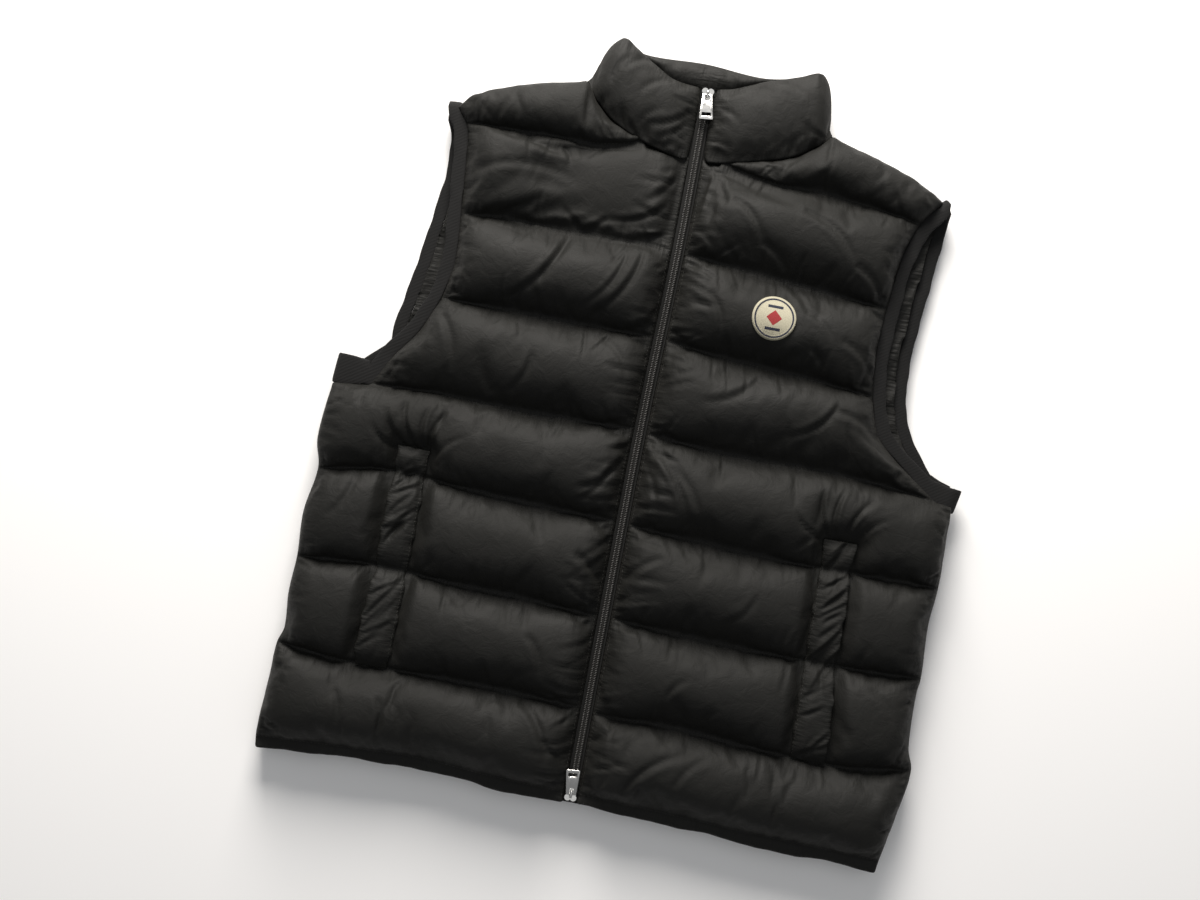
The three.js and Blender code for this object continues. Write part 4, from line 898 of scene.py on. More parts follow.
def loft(rings, round_trip=False):
    """Points and faces of a closed body through equal rings of points."""
    rings = np.asarray(rings, float)
    r, c = rings.shape[:2]
    ids = np.arange(r * c).reshape(r, c)
    nxt = np.roll(ids, -1, axis=0) if round_trip else ids[1:]
    here = ids if round_trip else ids[:-1]
    quads = np.stack([here, np.roll(here, -1, 1), np.roll(nxt, -1, 1), nxt], -1).reshape(-1, 4)
    faces = [list(q) for q in quads]
    if not round_trip:
        faces += [list(ids[0][::-1]), list(ids[-1])]
    return rings.reshape(-1, 3), faces


def outward(piece):
    """Merges doubles and turns a closed piece's faces outwards."""
    shape = bmesh.new()
    shape.from_mesh(piece.data)
    bmesh.ops.remove_doubles(shape, verts=shape.verts, dist=0.02 * MM)
    bmesh.ops.recalc_face_normals(shape, faces=shape.faces)
    shape.to_mesh(piece.data)
    shape.free()


class Surface:
    """Finds the top of finished pieces, in mm, at a place on the garment."""

    def __init__(self, *pieces):
        self.trees = []
        for piece in pieces:
            shape = bmesh.new()
            shape.from_mesh(piece.data)
            self.trees.append(BVHTree.FromBMesh(shape))
            shape.free()

    def top(self, x, y, otherwise=FRONT_IN + SEAM_WALL):
        start, down = Vector(place([x, y, 200.0])), Vector((0, 0, -1))
        hits = [tree.ray_cast(start, down)[0] for tree in self.trees]
        return max([hit.z / MM for hit in hits if hit] or [otherwise])

    def tops(self, xs, ys):
        found = [self.top(x, y) for x, y in zip(np.ravel(xs), np.ravel(ys))]
        return np.array(found).reshape(np.shape(xs))


# ---------------------------------------------------------------- the two fronts

right, left = Front(RIGHT), Front(LEFT)
fronts = {}
for front in (right, left):
    points, faces, sewn = front_panel(front)
    panel = mesh_piece(f"shell_front_{front.name}", place(points), faces)
    close_below(panel, sewn, FRONT_IN * MM)
    inflate(panel, pressure=20.0, growth=0.04, most=0.009)
    keep_clear_of_zip(panel, front)
    subdivide_open(panel)
    creases_on(panel, CREASES, FRONT_IN + SEAM_WALL)
    creases_on(panel, gathers(front), FRONT_IN + SEAM_WALL, bow=0.04)
    finish_edges(panel, front)
    x, y = (coordinates(panel)[:, :2] / MM - FOOT_OF_ZIP[:2]).T
    mark_gathering(panel, *seam_distances(front, x, y))
    finish_with(panel, NYLON, replaces=[f"front_{front.name}"])
    fronts[front.name] = panel

cloth_top = Surface(*fronts.values())

# ---------------------------------------------------------------- pocket welts

WELT_GAP = 0.5
WELT_ROWS, WELT_COLUMNS = 100, 17


def welt(front):
    """A padded strip sewn along its zip side, with the pocket's mouth along its other side."""
    crossed = [s for s in front.seams if s["welt_in"]]
    table = [dict(y=s["y3"], a=s["welt_in"], b=s["welt_out"]) for s in crossed]
    inside, outside = through(table, "y", "a"), through(table, "y", "b")
    u, v = np.meshgrid(np.linspace(0, 1, WELT_COLUMNS), np.linspace(0, 1, WELT_ROWS))
    foot = front.lines[2][2]

    def top(out):
        return front.lines[4][2](out) * (1 - WELT_TOP_SHARE) + front.lines[5][2](out) * WELT_TOP_SHARE

    y0, y1 = table[0]["y"], table[2]["y"] + (table[3]["y"] - table[2]["y"]) * WELT_TOP_SHARE
    rough_y = y0 + (y1 - y0) * v
    out = inside(rough_y) + (outside(rough_y) - inside(rough_y)) * u
    y = foot(out) + (top(out) - foot(out)) * v
    lines = [float(front.lines[k][2](out.mean())) for k in (2, 3, 4)]
    drawn_in = sum(np.exp(-(((y - at) / 10) ** 2)) for at in lines)
    scallop = 1.7 * drawn_in + 0.5 * np.sin(y / 4.1) + 0.4 * np.sin(y / 2.3 + 1)
    out = out + (0.5 - u) * 2 * scallop * np.abs(2 * u - 1)
    x = front.side * out
    under = cloth_top.tops(x, y) + WELT_GAP
    # Under the pocket's mouth the strip bridges the cloth's small hollows.
    under += 1.2 * u**2
    pinch = np.ones_like(v)
    for at, much in zip(lines, (0.75, 0.6, 0.35)):
        pinch -= much * np.exp(-(((y - at) / 9) ** 2))
    pinch -= 0.7 * np.exp(-(((y - y.max(0)) / 6) ** 2))
    across = np.minimum(1, (u / 0.3)) ** 0.6 * (1 - np.clip((u - 0.78) / 0.22, 0, 1) ** 3 * 0.45)
    wrinkle = np.zeros_like(v)
    for _ in range(20):
        at, slant, width = rng.uniform(y0 + 5, y1 - 5), rng.uniform(0.5, 1.9), rng.uniform(1.3, 2.4)
        off = (y - at - front.side * slant * (u - 0.5) * 26) / math.hypot(1, slant) / width
        fold = 0.6 * np.exp(-((off - 1.6) ** 2)) - np.exp(-(np.abs(off) ** 1.5))
        middle, half = rng.uniform(0.25, 0.75), rng.uniform(0.3, 0.7)
        wrinkle += rng.uniform(1.2, 2.9) * fold * np.clip(1 - ((u - middle) / half) ** 2, 0, 1)
    thick = 1.6 + 6.0 * across * np.clip(pinch, 0.12, 1) + wrinkle * across
    over = under + np.maximum(thick, 1.0)
    return closed_sheet(np.stack([x, y, over], -1), np.stack([x, y, under], -1)), (inside, outside)


welts = {}
for front in (right, left):
    (points, faces), (inside, outside) = welt(front)
    strip = mesh_piece(f"welt_{front.name}", place(points), faces)
    outward(strip)
    apply_modifier(strip, "SUBSURF", levels=1, render_levels=1)
    x, y = (coordinates(strip)[:, :2] / MM - FOOT_OF_ZIP[:2]).T
    to_side = np.minimum(np.abs(front.side * x - inside(y)), np.abs(outside(y) - front.side * x))
    mark_gathering(strip, seam_distances(front, x, y)[0], to_side)
    finish_with(strip, NYLON, replaces=[f"pocket_welt_{front.name}"])
    welts[front.name] = strip

# ---------------------------------------------------------------- the back

BACK_LINES = rows(
    "right_y left_y",
    (548, 532), (471, 456), (397, 381), (314, 304), (241, 233), (162, 155), (88, 78), (8, -3),
)


def back():
    """The back is the CAD's wall, remeshed, with quilting pressed into its underside."""
    piece = bpy.data.objects.new("shell_back", NODES["back"].data.copy())
    bpy.context.scene.collection.objects.link(piece)
    piece.data.transform(NODES["back"].matrix_world)
    shape = bmesh.new()
    shape.from_mesh(piece.data)
    bmesh.ops.remove_doubles(shape, verts=shape.verts, dist=0.02 * MM)
    shape.to_mesh(piece.data)
    shape.free()
    apply_modifier(piece, "REMESH", mode="VOXEL", voxel_size=0.004, use_smooth_shade=True)
    co = coordinates(piece)
    x, y, z = (co / MM - FOOT_OF_ZIP).T
    share = np.clip((x + 266) / 532, 0, 1)
    full = np.clip(1 - z / 11, 0, 1)
    t = np.ones_like(y)
    lines = [row["right_y"] + (row["left_y"] - row["right_y"]) * share for row in BACK_LINES]
    lines.insert(0, np.full_like(y, 640.0))
    for high, low in zip(lines, lines[1:]):
        inside = (y <= high) & (y > low)
        t[inside] = ((y - low) / (high - low))[inside]
    section = channel_section(t, 5.0)
    under = z < 17
    z = np.where(under, 20 - (9 + 11 * full * section), z)
    slant = x * 0.7 * np.where(x < 0, 1, -1) + y
    folds = 3.2 * np.abs(np.sin(slant / 9 + 1.6 * np.sin(y / 27))) ** 0.6
    edge = np.clip((np.abs(x + 4) - 180) / 10, 0, 1) * np.clip((y - 335) / 20, 0, 1)
    z = np.where(z > 19.5, z - folds * edge, z)
    set_coordinates(piece, place(np.stack([x, y, np.maximum(z, 0)], 1)))
    to_line = np.min([np.abs(y - line) for line in lines], axis=0)
    mark_gathering(piece, to_line, 40 * (1 - edge))
    return piece


shell_back = back()
finish_with(shell_back, NYLON, replaces=["back"])

# ---------------------------------------------------------------- the collar

COLLAR_GAP = 2.0
COLLAR_MID_Z = 20.2
COLLAR_LIFT = 0.4
COLLAR_FOOT = 1.12
COLLAR_FULL = 0.9
COLLAR_EDGE = 0.24
COLLAR_FRONT_LOFT = 18.0
COLLAR_FOLD_LOFT = 12.0
COLLAR_BACK_LOFT = 26.0
COLLAR_ROWS = 21


def collar_edge(turn):
    """How full the collar still is at its seam: fullest at its sides, where it folds over."""
    return COLLAR_EDGE + COLLAR_FOOT * math.cos(turn) ** 2


def collar_stations():
    """Stations along the collar, from the wearer's right of the zip round to its left. Each has its
    spine's low and high point, the way that it faces and its loft."""
    neck_y = through(BACK_NECK, "x", "y")
    top_back_y = through(BACK_COLLAR_TOP, "x", "y")

    def half(front):
        top_y = through(front.collar_top, "out", "y")
        fold = COLLAR_FOLD_LOFT + COLLAR_GAP / 2
        fold_low, fold_high = front.corner - fold, front.collar_corner - fold
        start = float(front.zip_edge(float(front.neck_y(0))))
        made = []
        for g in np.linspace(0, 1, 20)[:-1]:
            low = start + (fold_low - start) * g
            zip_high = float(front.zip_edge(ZIP_HEAD))
            high = zip_high + (fold_high - zip_high) * g
            grown = 0.25 + 0.75 * fullness(low - start, ZIP_ROUND, ZIP_SOFTNESS)
            made.append((low, front.neck_y(low), high, top_y(high), 90.0, COLLAR_FRONT_LOFT * grown))
        for turn in np.linspace(90, 270, 17):
            aside = abs(math.cos(math.radians(turn)))
            out_high = fold_high + (COLLAR_GAP / 2 + COLLAR_EDGE * COLLAR_FOLD_LOFT) * aside
            above = turn <= 180
            side = COLLAR_FRONT_LOFT if above else COLLAR_MID_Z
            away = (abs(turn - 180) / 90) ** 2
            loft_here = COLLAR_FOLD_LOFT + (side - COLLAR_FOLD_LOFT) * away
            foot = COLLAR_GAP / 2 + COLLAR_FULL * loft_here * collar_edge(math.radians(turn))
            out_low = fold_low + foot * aside
            low_y = front.neck_y(out_low) if above else neck_y(front.side * out_low)
            if out_low > front.corner:
                low_y = min(low_y, front.shoulder_y(out_low))
            high_y = top_y(out_high) if above else top_back_y(front.side * out_high)
            made.append((fold_low, low_y, fold_high, high_y, turn, loft_here))
        turned = [180 - m[4] if front.side > 0 else m[4] for m in made]
        return [
            (front.side * m[0], float(m[1]), front.side * m[2], float(m[3]), math.radians(t), float(m[5]))
            for m, t in zip(made, turned)
        ]

    first, second = half(right), half(left)[::-1]
    a, b = first[-1], second[0]
    behind = []
    for g in np.linspace(0, 1, 24)[1:-1]:
        low, high = a[0] + (b[0] - a[0]) * g, a[2] + (b[2] - a[2]) * g
        behind.append((low, float(neck_y(low)), high, float(top_back_y(high)), -math.pi / 2, COLLAR_BACK_LOFT))
    return first + behind + second


def collar():
    """The stand collar: one strip of padded wall, folded round the neck and open at the front."""
    t = 0.5 - 0.5 * np.cos(np.linspace(0, np.pi, COLLAR_ROWS))
    rings, sewn, number = [], [], 0
    for low_x, low_y, high_x, high_y, turn, wall in collar_stations():
        # The fuller foot lets the collar's side run straight up from the neck.
        edge = COLLAR_EDGE + (collar_edge(turn) - COLLAR_EDGE) * (1 - t) ** 2
        section = edge + (1 - edge) * channel_section(t)
        layers = []
        for reach in (COLLAR_GAP / 2 + COLLAR_FULL * wall * section, np.full_like(t, COLLAR_GAP / 2)[::-1]):
            s = t if len(layers) == 0 else t[::-1]
            x = low_x + (high_x - low_x) * s + reach * math.cos(turn)
            y = low_y + COLLAR_LIFT + (high_y - low_y - COLLAR_LIFT) * s
            z = np.maximum(0, COLLAR_MID_Z + reach * math.sin(turn))
            layers.append(np.stack([x, y, z], 1))
        ring = np.concatenate(layers)
        rings.append(ring)
        sewn += [number, number + 1, number + COLLAR_ROWS - 1]
        sewn += list(range(number + COLLAR_ROWS, number + len(ring)))
        number += len(ring)
    ends = list(range(2 * COLLAR_ROWS)) + list(range(number - 2 * COLLAR_ROWS, number))
    points, faces = loft(rings)
    piece = mesh_piece("collar_shell", place(points), faces)
    piece.vertex_groups.new(name="sewn").add(sorted(set(sewn + ends)), 1.0, "REPLACE")
    outward(piece)
    return piece


COLLAR_CREASES = rows(
    "x0 y0 x1 y1 depth width",
    (-70, 611, -40, 629, 2.4, 2.4),
    (-78, 600, -60, 628, 2.2, 2.2),
    (-52, 596, -20, 613, 2.4, 2.2),
    (-8, 588, -44, 572, 3, 2),
    (-8, 580, -34, 562, 2.6, 1.8),
    (-50, 569, -28, 586, 2.2, 2.2),
    (-30, 554, -22, 570, 2, 1.6),
    (58, 560, 66, 576, 2, 1.6),
    (72, 564, 80, 580, 2.4, 1.6),
    (80, 567, 90, 588, 2.6, 1.8),
    (98, 578, 92, 598, 2.6, 1.8),
    (106, 588, 84, 600, 2.2, 1.8),
    (20, 606, 60, 618, 1.6, 2.6),
    (62, 626, 84, 616, 2, 2.4),
    (14, 596, 34, 584, 2.2, 1.8),
)


def collar_gathers():
    """Short creases that run up from the collar's seam and in from the zip."""
    made = []

    def crease(front, out, y, aside, up):
        start, end = (front.side * out, y), (front.side * (out + aside), y + up)
        depth, width = rng.uniform(1.2, 2.6), rng.uniform(1.2, 1.9)
        made.append(dict(x0=start[0], y0=start[1], x1=end[0], y1=end[1], depth=depth, width=width))

    for front in (right, left):
        out = 14.0
        while out < front.corner - 12:
            crease(front, out, float(front.neck_y(out)) + 1, rng.normal(0, 6), 6 + 16 * rng.uniform(0, 1) ** 2)
            out += rng.uniform(6, 15)
        y = 562.0
        while y < 600:
            crease(front, float(front.zip_edge(y)), y, rng.uniform(8, 24), rng.normal(0, 7))
            y += rng.uniform(5, 11)
    return made


def settle_foot(piece):
    """Lets the collar's filled lower edge hang a little over its seam, and more beside the zip."""
    x, y, z = (coordinates(piece) / MM - FOOT_OF_ZIP).T
    neck = np.where(x < 0, right.neck_y(-x), left.neck_y(x))
    by_zip = np.exp(-((x / 34) ** 2))
    above = np.clip((z - FRONT_IN - 1 - 4.5 * (1 - by_zip)) / 3, 0, 1)
    near = above * np.exp(-np.maximum(y - neck, 0) / 5)
    y = y - (2.2 + 1.6 * by_zip) * near
    z = z + 3.2 * by_zip * near
    set_coordinates(piece, place(np.stack([x, y, z], 1)))


def mark_collar(piece):
    """The collar is gathered along its seam, its top edge and the zip."""
    x, y, z = (coordinates(piece) / MM - FOOT_OF_ZIP).T
    to_seam, to_zip = np.full_like(x, 99.0), np.full_like(x, 99.0)
    for front in (right, left):
        here = (front.side * x > 0) & (z > COLLAR_MID_Z - 2)
        out = front.side * x
        top = through(front.collar_top, "out", "y")(out)
        near = np.minimum(np.abs(y - front.neck_y(out)), np.abs(top - y))
        to_seam, to_zip = np.where(here, near, to_seam), np.where(here, np.abs(out - front.zip_edge(y)), to_zip)
    mark_gathering(piece, to_seam, to_zip)


INSIDE_CREASES = rows(
    "x0 y0 x1 y1 depth width",
    (10, 634, 22, 616, 2.6, 2),
    (20, 633, 38, 617, 2.2, 1.8),
    (34, 632, 42, 620, 1.8, 1.6),
    (-8, 634, -2, 619, 1.6, 1.8),
    (-26, 633, -34, 622, 1.8, 1.8),
    (-44, 633, -52, 628, 1.4, 1.6),
)


def puff_inside_collar(piece):
    """Fills the back's inner side where it shows above the front's top edge."""
    co = coordinates(piece)
    x, y, z = (co / MM - FOOT_OF_ZIP).T
    front_top = np.where(
        x < 0,
        through(RIGHT["collar_top"], "out", "y")(np.abs(x)),
        through(LEFT["collar_top"], "out", "y")(np.abs(x)),
    )
    back_top = through(BACK_COLLAR_TOP, "x", "y")(x)
    share = np.clip((y - front_top + 1) / np.maximum(back_top - front_top + 1, 1), 0, 1)
    inside = (z > COLLAR_MID_Z - 3) & (z < COLLAR_MID_Z + 0.6)
    rise = 5.0 * np.sin(np.pi * share) ** 0.7 * np.clip((back_top - front_top) / 8, 0, 1)
    z = z + np.where(inside, rise, 0)
    set_coordinates(piece, place(np.stack([x, y, z], 1)))


collar_piece = collar()
inflate(collar_piece, pressure=20.0, growth=0.035, most=0.004)
apply_modifier(collar_piece, "SUBSURF", levels=1, render_levels=1)
creases_on(collar_piece, COLLAR_CREASES, FRONT_IN + 6)
creases_on(collar_piece, collar_gathers(), FRONT_IN + 6, bow=0.04)
settle_foot(collar_piece)
puff_inside_collar(collar_piece)
creases_on(collar_piece, INSIDE_CREASES, COLLAR_MID_Z - 1.2)
above_table = coordinates(collar_piece)
above_table[:, 2] = np.maximum(above_table[:, 2], 0)
set_coordinates(collar_piece, above_table)
mark_collar(collar_piece)
finish_with(collar_piece, NYLON, replaces=["collar"])

# ---------------------------------------------------------------- armhole bindings

BINDING_WIDTH = 11.0
BINDING_WALL = 2.6
BINDING_GAP = 1.4
BINDING_FRONT_Z = FRONT_IN + 3.4
BINDING_BACK_Z = 11.5
BINDING_STEP = 2.6


def binding_path(front):
    """Points along the armhole's tape: place, height and how far it has turned over."""
    offset = BINDING_WIDTH / 2 + BINDING_GAP

    def beside(table, skip_low, skip_high):
        out_at = through(table, "y", "out")
        ends = [table[0]["y"] + skip_low, table[-1]["y"] - skip_high]
        ys = np.linspace(*ends, int((ends[1] - ends[0]) / BINDING_STEP))
        slope = out_at(ys + 1) - out_at(ys - 1)
        length = np.hypot(2, slope)
        return np.stack([out_at(ys) + offset * 2 / length, ys - offset * slope / length], 1)

    down = beside(front.armhole, 8, 6)[::-1]
    up = beside(front.back_armhole, 16, 6)
    armpit, shoulder = np.array(front.armpit_tip, float), np.array(front.shoulder_tip, float)
    inwards = (armpit - down[-1]) / np.linalg.norm(armpit - down[-1])
    upwards = (shoulder - up[-1]) / np.linalg.norm(shoulder - up[-1])

    def leg(a, b):
        count = max(2, int(np.linalg.norm(b - a) / BINDING_STEP))
        return [a + (b - a) * i / count for i in range(1, count)]

    def turned(centre, z0, z1, ahead):
        radius = (z0 - z1) / 2
        turns = np.pi * np.linspace(0.08, 0.92, 8)
        return [(centre + ahead * abs(radius) * math.sin(t), (z0 + z1) / 2 + radius * math.cos(t), t) for t in turns]

    path = [(p, BINDING_FRONT_Z, 0.0) for p in [*down, *leg(down[-1], armpit)]]
    path += turned(armpit, BINDING_FRONT_Z, BINDING_BACK_Z, inwards)
    path += [(p, BINDING_BACK_Z, np.pi) for p in [*leg(armpit, up[0]), *up, *leg(up[-1], shoulder)]]
    path += [(p, z, t + np.pi) for p, z, t in turned(shoulder, BINDING_BACK_Z, BINDING_FRONT_Z, upwards)]
    path += [(p, BINDING_FRONT_Z, 2 * np.pi) for p in leg(shoulder, down[0])]
    return path, inwards, upwards


def binding(front):
    """One tape folded over the raw edge: down the front, under the arm and up the back."""
    path, inwards, upwards = binding_path(front)
    spots = np.array([[*p, z] for p, z, _ in path])
    flat_run = np.roll(spots[:, :2], -1, 0) - np.roll(spots[:, :2], 1, 0)
    around = np.linspace(0, 2 * np.pi, 17)[:-1]
    wide = np.sign(np.cos(around)) * np.abs(np.cos(around)) ** 0.35
    thick = np.sign(np.sin(around)) * np.abs(np.sin(around)) ** 0.6
    rings = []
    for i, (p, z, turn) in enumerate(path):
        if abs(math.sin(turn)) < 1e-6:
            along = flat_run[i] / max(np.linalg.norm(flat_run[i]), 1e-9)
            level = 1.0 if math.cos(turn) > 0 else -1.0
        elif turn < np.pi:
            along, level = inwards, None
        else:
            along, level = -upwards, None
        across = np.array([-along[1], along[0], 0.0])
        lift = np.array([along[0] * math.sin(turn), along[1] * math.sin(turn), math.cos(turn)])
        if level is not None:
            lift = np.array([0, 0, level])
        wave = 0.6 * math.sin(i / 2.3 + front.side) + 0.5 * math.sin(i / 5.3) + 0.3 * math.sin(i / 1.1)
        # The tape takes in the panel's edge, and spreads over the side seam under the arm.
        inner = np.sign(across[0]) * wide < 0
        near_tip = max(0.0, 1 - np.linalg.norm(p - np.array(front.armpit_tip, float)) / 34)
        lower = np.sign(across[1]) * wide < 0
        half = BINDING_WIDTH / 2 + 0.5 * wave - 1.6 + 3.6 * inner + front.tape_spread * near_tip**0.5 * lower
        ring = (
            np.array([*p, z])
            + np.outer(wide * half, across)
            + np.outer(thick * BINDING_WALL / 2 + 0.35 * wave * wide, lift)
        )
        ring[:, 0] *= front.side
        rings.append(ring)
    return loft(rings, round_trip=True)


for front in (right, left):
    points, faces = binding(front)
    band = mesh_piece(f"binding_{front.name}", place(points), faces)
    outward(band)
    finish_with(band, TAPE, replaces=[f"armhole_binding_{front.name}"])
    run = np.array([[*p, z] for p, z, _ in binding_path(front)[0]])

# ---------------------------------------------------------------- the zip: tapes and coil

SLIDER_LENGTH = 12.0
TOP_SLIDER_Y = 605.5
BOTTOM_SLIDER_Y = 6.5
POST_HALF = 1.3


def zip_tapes():
    """Both tapes' showing edges, side by side, parting where the sliders hold them open."""
    points, faces = [], []
    for side in (-1, 1):
        ys = np.concatenate([[-1, 5.5, 7.5], np.linspace(11, 601, 119), [604.5, 606.5, ZIP_HEAD]])
        parted = (ys > TOP_SLIDER_Y + 0.2) | (ys < BOTTOM_SLIDER_Y - 0.2)
        inside = np.where(parted, POST_HALF + 0.3, 0.15)
        shares = np.linspace(0, 1, 5)
        out = inside[:, None] + (ZIP_HALF - 0.5 - inside[:, None]) * shares
        x = zip_x(ys)[:, None] + side * out
        y = np.repeat(ys[:, None], 5, 1)
        low = np.full_like(x, TAPE_Z)
        p, f = closed_sheet(np.stack([x, y, low + TAPE_WALL], -1), np.stack([x, y, low], -1))
        faces += [list(q + len(points)) for q in f]
        points += list(p)
    return points, faces


points, faces = zip_tapes()
tapes = mesh_piece("zip_tapes", place(points), faces, smooth=False)
outward(tapes)
finish_with(tapes, ZIP_TAPE, replaces=["zip_tape_right", "zip_tape_left"])

COIL_Z = TAPE_Z + TAPE_WALL + 0.3
TOOTH_PITCH = 1.45


def modelled(name, piece):
    piece.name = name
    piece.data.name = name
    return piece


def block(x0, x1, y0, y1, z0, z1):
    """A box between these places, in mm about the piece's own middle, made by Blender's cube."""
    bpy.ops.object.select_all(action="DESELECT")
    bpy.ops.mesh.primitive_cube_add(size=1, location=((x0 + x1) / 2 * MM, (y0 + y1) / 2 * MM, (z0 + z1) / 2 * MM))
    made = bpy.context.object
    made.scale = ((x1 - x0) * MM, (y1 - y0) * MM, (z1 - z0) * MM)
    bpy.ops.object.transform_apply(location=True, rotation=True, scale=True)
    return made


def disc(x, y, z0, z1, radius, sides=40):
    bpy.ops.object.select_all(action="DESELECT")
    bpy.ops.mesh.primitive_cylinder_add(
        vertices=sides, radius=radius * MM, depth=(z1 - z0) * MM, location=(x * MM, y * MM, (z0 + z1) / 2 * MM)
    )
    made = bpy.context.object
    bpy.ops.object.transform_apply(location=True, rotation=True, scale=True)
    return made


def combine(piece, other, operation):
    """Joins another solid to this one or cuts it away, and deletes the other."""
    apply_modifier(piece, "BOOLEAN", object=other, operation=operation, solver="EXACT")
    bpy.data.objects.remove(other)
    return piece


def bevelled(piece, width, segments=2, angle=30):
    apply_modifier(
        piece, "BEVEL", width=width * MM, segments=segments, limit_method="ANGLE", angle_limit=math.radians(angle),
    )
    select_only(piece)
    bpy.ops.object.shade_smooth_by_angle(angle=math.radians(40))
    return piece


def repeated(name, piece, offsets):
    """One mesh of many copies of a small piece, moved by these offsets in mm. It keeps the faces."""
    co = coordinates(piece) / MM
    faces = [list(p.vertices) for p in piece.data.polygons]
    points = (co[None] + np.asarray(offsets, float)[:, None]).reshape(-1, 3)
    copies = [[i + n * len(co) for i in face] for n in range(len(offsets)) for face in faces]
    bpy.data.objects.remove(piece)
    return mesh_piece(name, place(points), copies)


tooth_ys = np.arange(BOTTOM_SLIDER_Y + 4, TOP_SLIDER_Y - 3, TOOTH_PITCH)
tooth = bevelled(block(0.35, COIL_HALF, -0.5, 0.5, 0, 2.0), 0.3, 1)
offsets = [(float(zip_x(y)), y, COIL_Z) for y in tooth_ys]
teeth_left = repeated("coil_left", tooth, offsets)
tooth = bevelled(block(-COIL_HALF, -0.35, -0.5, 0.5, 0, 2.0), 0.3, 1)
offsets = [(float(zip_x(y)), y, COIL_Z) for y in tooth_ys + TOOTH_PITCH / 2]
teeth_right = repeated("coil_right", tooth, offsets)
cord_ys = np.linspace(BOTTOM_SLIDER_Y + 3, TOP_SLIDER_Y - 3, 80)
turns = np.linspace(0, 2 * np.pi, 9)[:-1]
cord_rings = [
    [(float(zip_x(y)) + 0.42 * math.cos(a), y, COIL_Z + 1.5 + 0.42 * math.sin(a)) for a in turns] for y in cord_ys
]
points, faces = loft(cord_rings)
core = mesh_piece("coil_core", place(points), faces)
outward(core)
for piece in (teeth_left, teeth_right, core):
    finish_with(piece, COIL, replaces=["zip_coil"])

# ---------------------------------------------------------------- the badge

BADGE_WALL = 1.5
BADGE_GAP = 0.4


def badge():
    """A round patch that follows the cloth under it, with a border stitched over its edge."""
    spokes, shares = 72, np.array([0, 0.2, 0.4, 0.6, 0.75, 0.84, 0.88, 0.93, 0.975, 1])
    turns = np.linspace(0, 2 * np.pi, spokes + 1)[:-1]
    share, turn = np.meshgrid(shares, turns)
    across, up = share * np.cos(turn), share * np.sin(turn)
    x, y = BADGE_AT["x"] + BADGE_RADIUS * across, BADGE_AT["y"] + BADGE_RADIUS * up
    tops = cloth_top.tops(x, y)
    # The stiff patch takes up the cloth's broad curve and bridges most of its creases.
    terms = np.stack([np.ones_like(x), across, up, across**2, across * up, up**2], -1)
    curve = terms @ np.linalg.lstsq(terms.reshape(-1, 6), tops.ravel(), rcond=None)[0]
    eased = 0.75 * curve + 0.25 * tops
    under = eased + BADGE_GAP + max(0.0, float((tops - eased).max()))
    raised = np.interp(share, [0, 0.84, 0.88, 0.93, 0.975, 1], [1, 1, 1.5, 1.6, 1.35, 0.55])
    over = under + (BADGE_WALL - 0.5) * raised
    rings = [
        np.stack([np.append(x[:, c], []), y[:, c], over[:, c]], 1) for c in range(1, len(shares))
    ] + [np.stack([x[:, c], y[:, c], under[:, c]], 1) for c in range(len(shares) - 1, 0, -1)]
    return loft(rings)


points, faces = badge()
patch = mesh_piece("patch", place(points), faces)
outward(patch)
finish_with(patch, TWILL, replaces=["badge"])

# ---------------------------------------------------------------- sliders and pull tabs

PLATE = 1.2
DECK = TAPE_WALL + 2.0 + 0.6 + PLATE
PULL = dict(near=4.2, far=6.1, length=21.5, plate=1.3, bar=0.6, gap=0.5)
PULL_PITCH = 9.0
SLIDERS = rows("name y turn yaw", ("top", TOP_SLIDER_Y, 0.0, 6.0), ("bottom", BOTTOM_SLIDER_Y, 180.0, 5.0))


def slider():
    """A slider about its own middle: two plates with round shoulders, a post, flanges, a bridge."""
    def plate(z0, z1):
        made = block(-4.1, 4.1, -6, 3.4, z0, z1)
        for x in (-2.4, 2.4):
            combine(made, disc(x, 3.3, z0, z1, 2.7), "UNION")
        return made

    body = plate(-0.3 - PLATE, -0.3)
    combine(body, plate(DECK - PLATE, DECK), "UNION")
    combine(body, block(-1.25, 1.25, 2.2, 4.0, -0.3 - PLATE, DECK), "UNION")
    for side in (-1, 1):
        a, b = sorted((side * (COIL_HALF + 0.3), side * 4.1))
        combine(body, block(a, b, -6, 0.6, 1.3, DECK), "UNION")
    bridge = bevelled(block(-1.1, 1.1, -3.4, 3.4, DECK - 0.5, DECK + 3.4), 0.9, 3, 60)
    combine(bridge, block(-3, 3, -2.1, 2.1, DECK - 2, DECK + 2.4), "DIFFERENCE")
    combine(body, bridge, "UNION")
    return bevelled(body, 0.28, 2, 35)


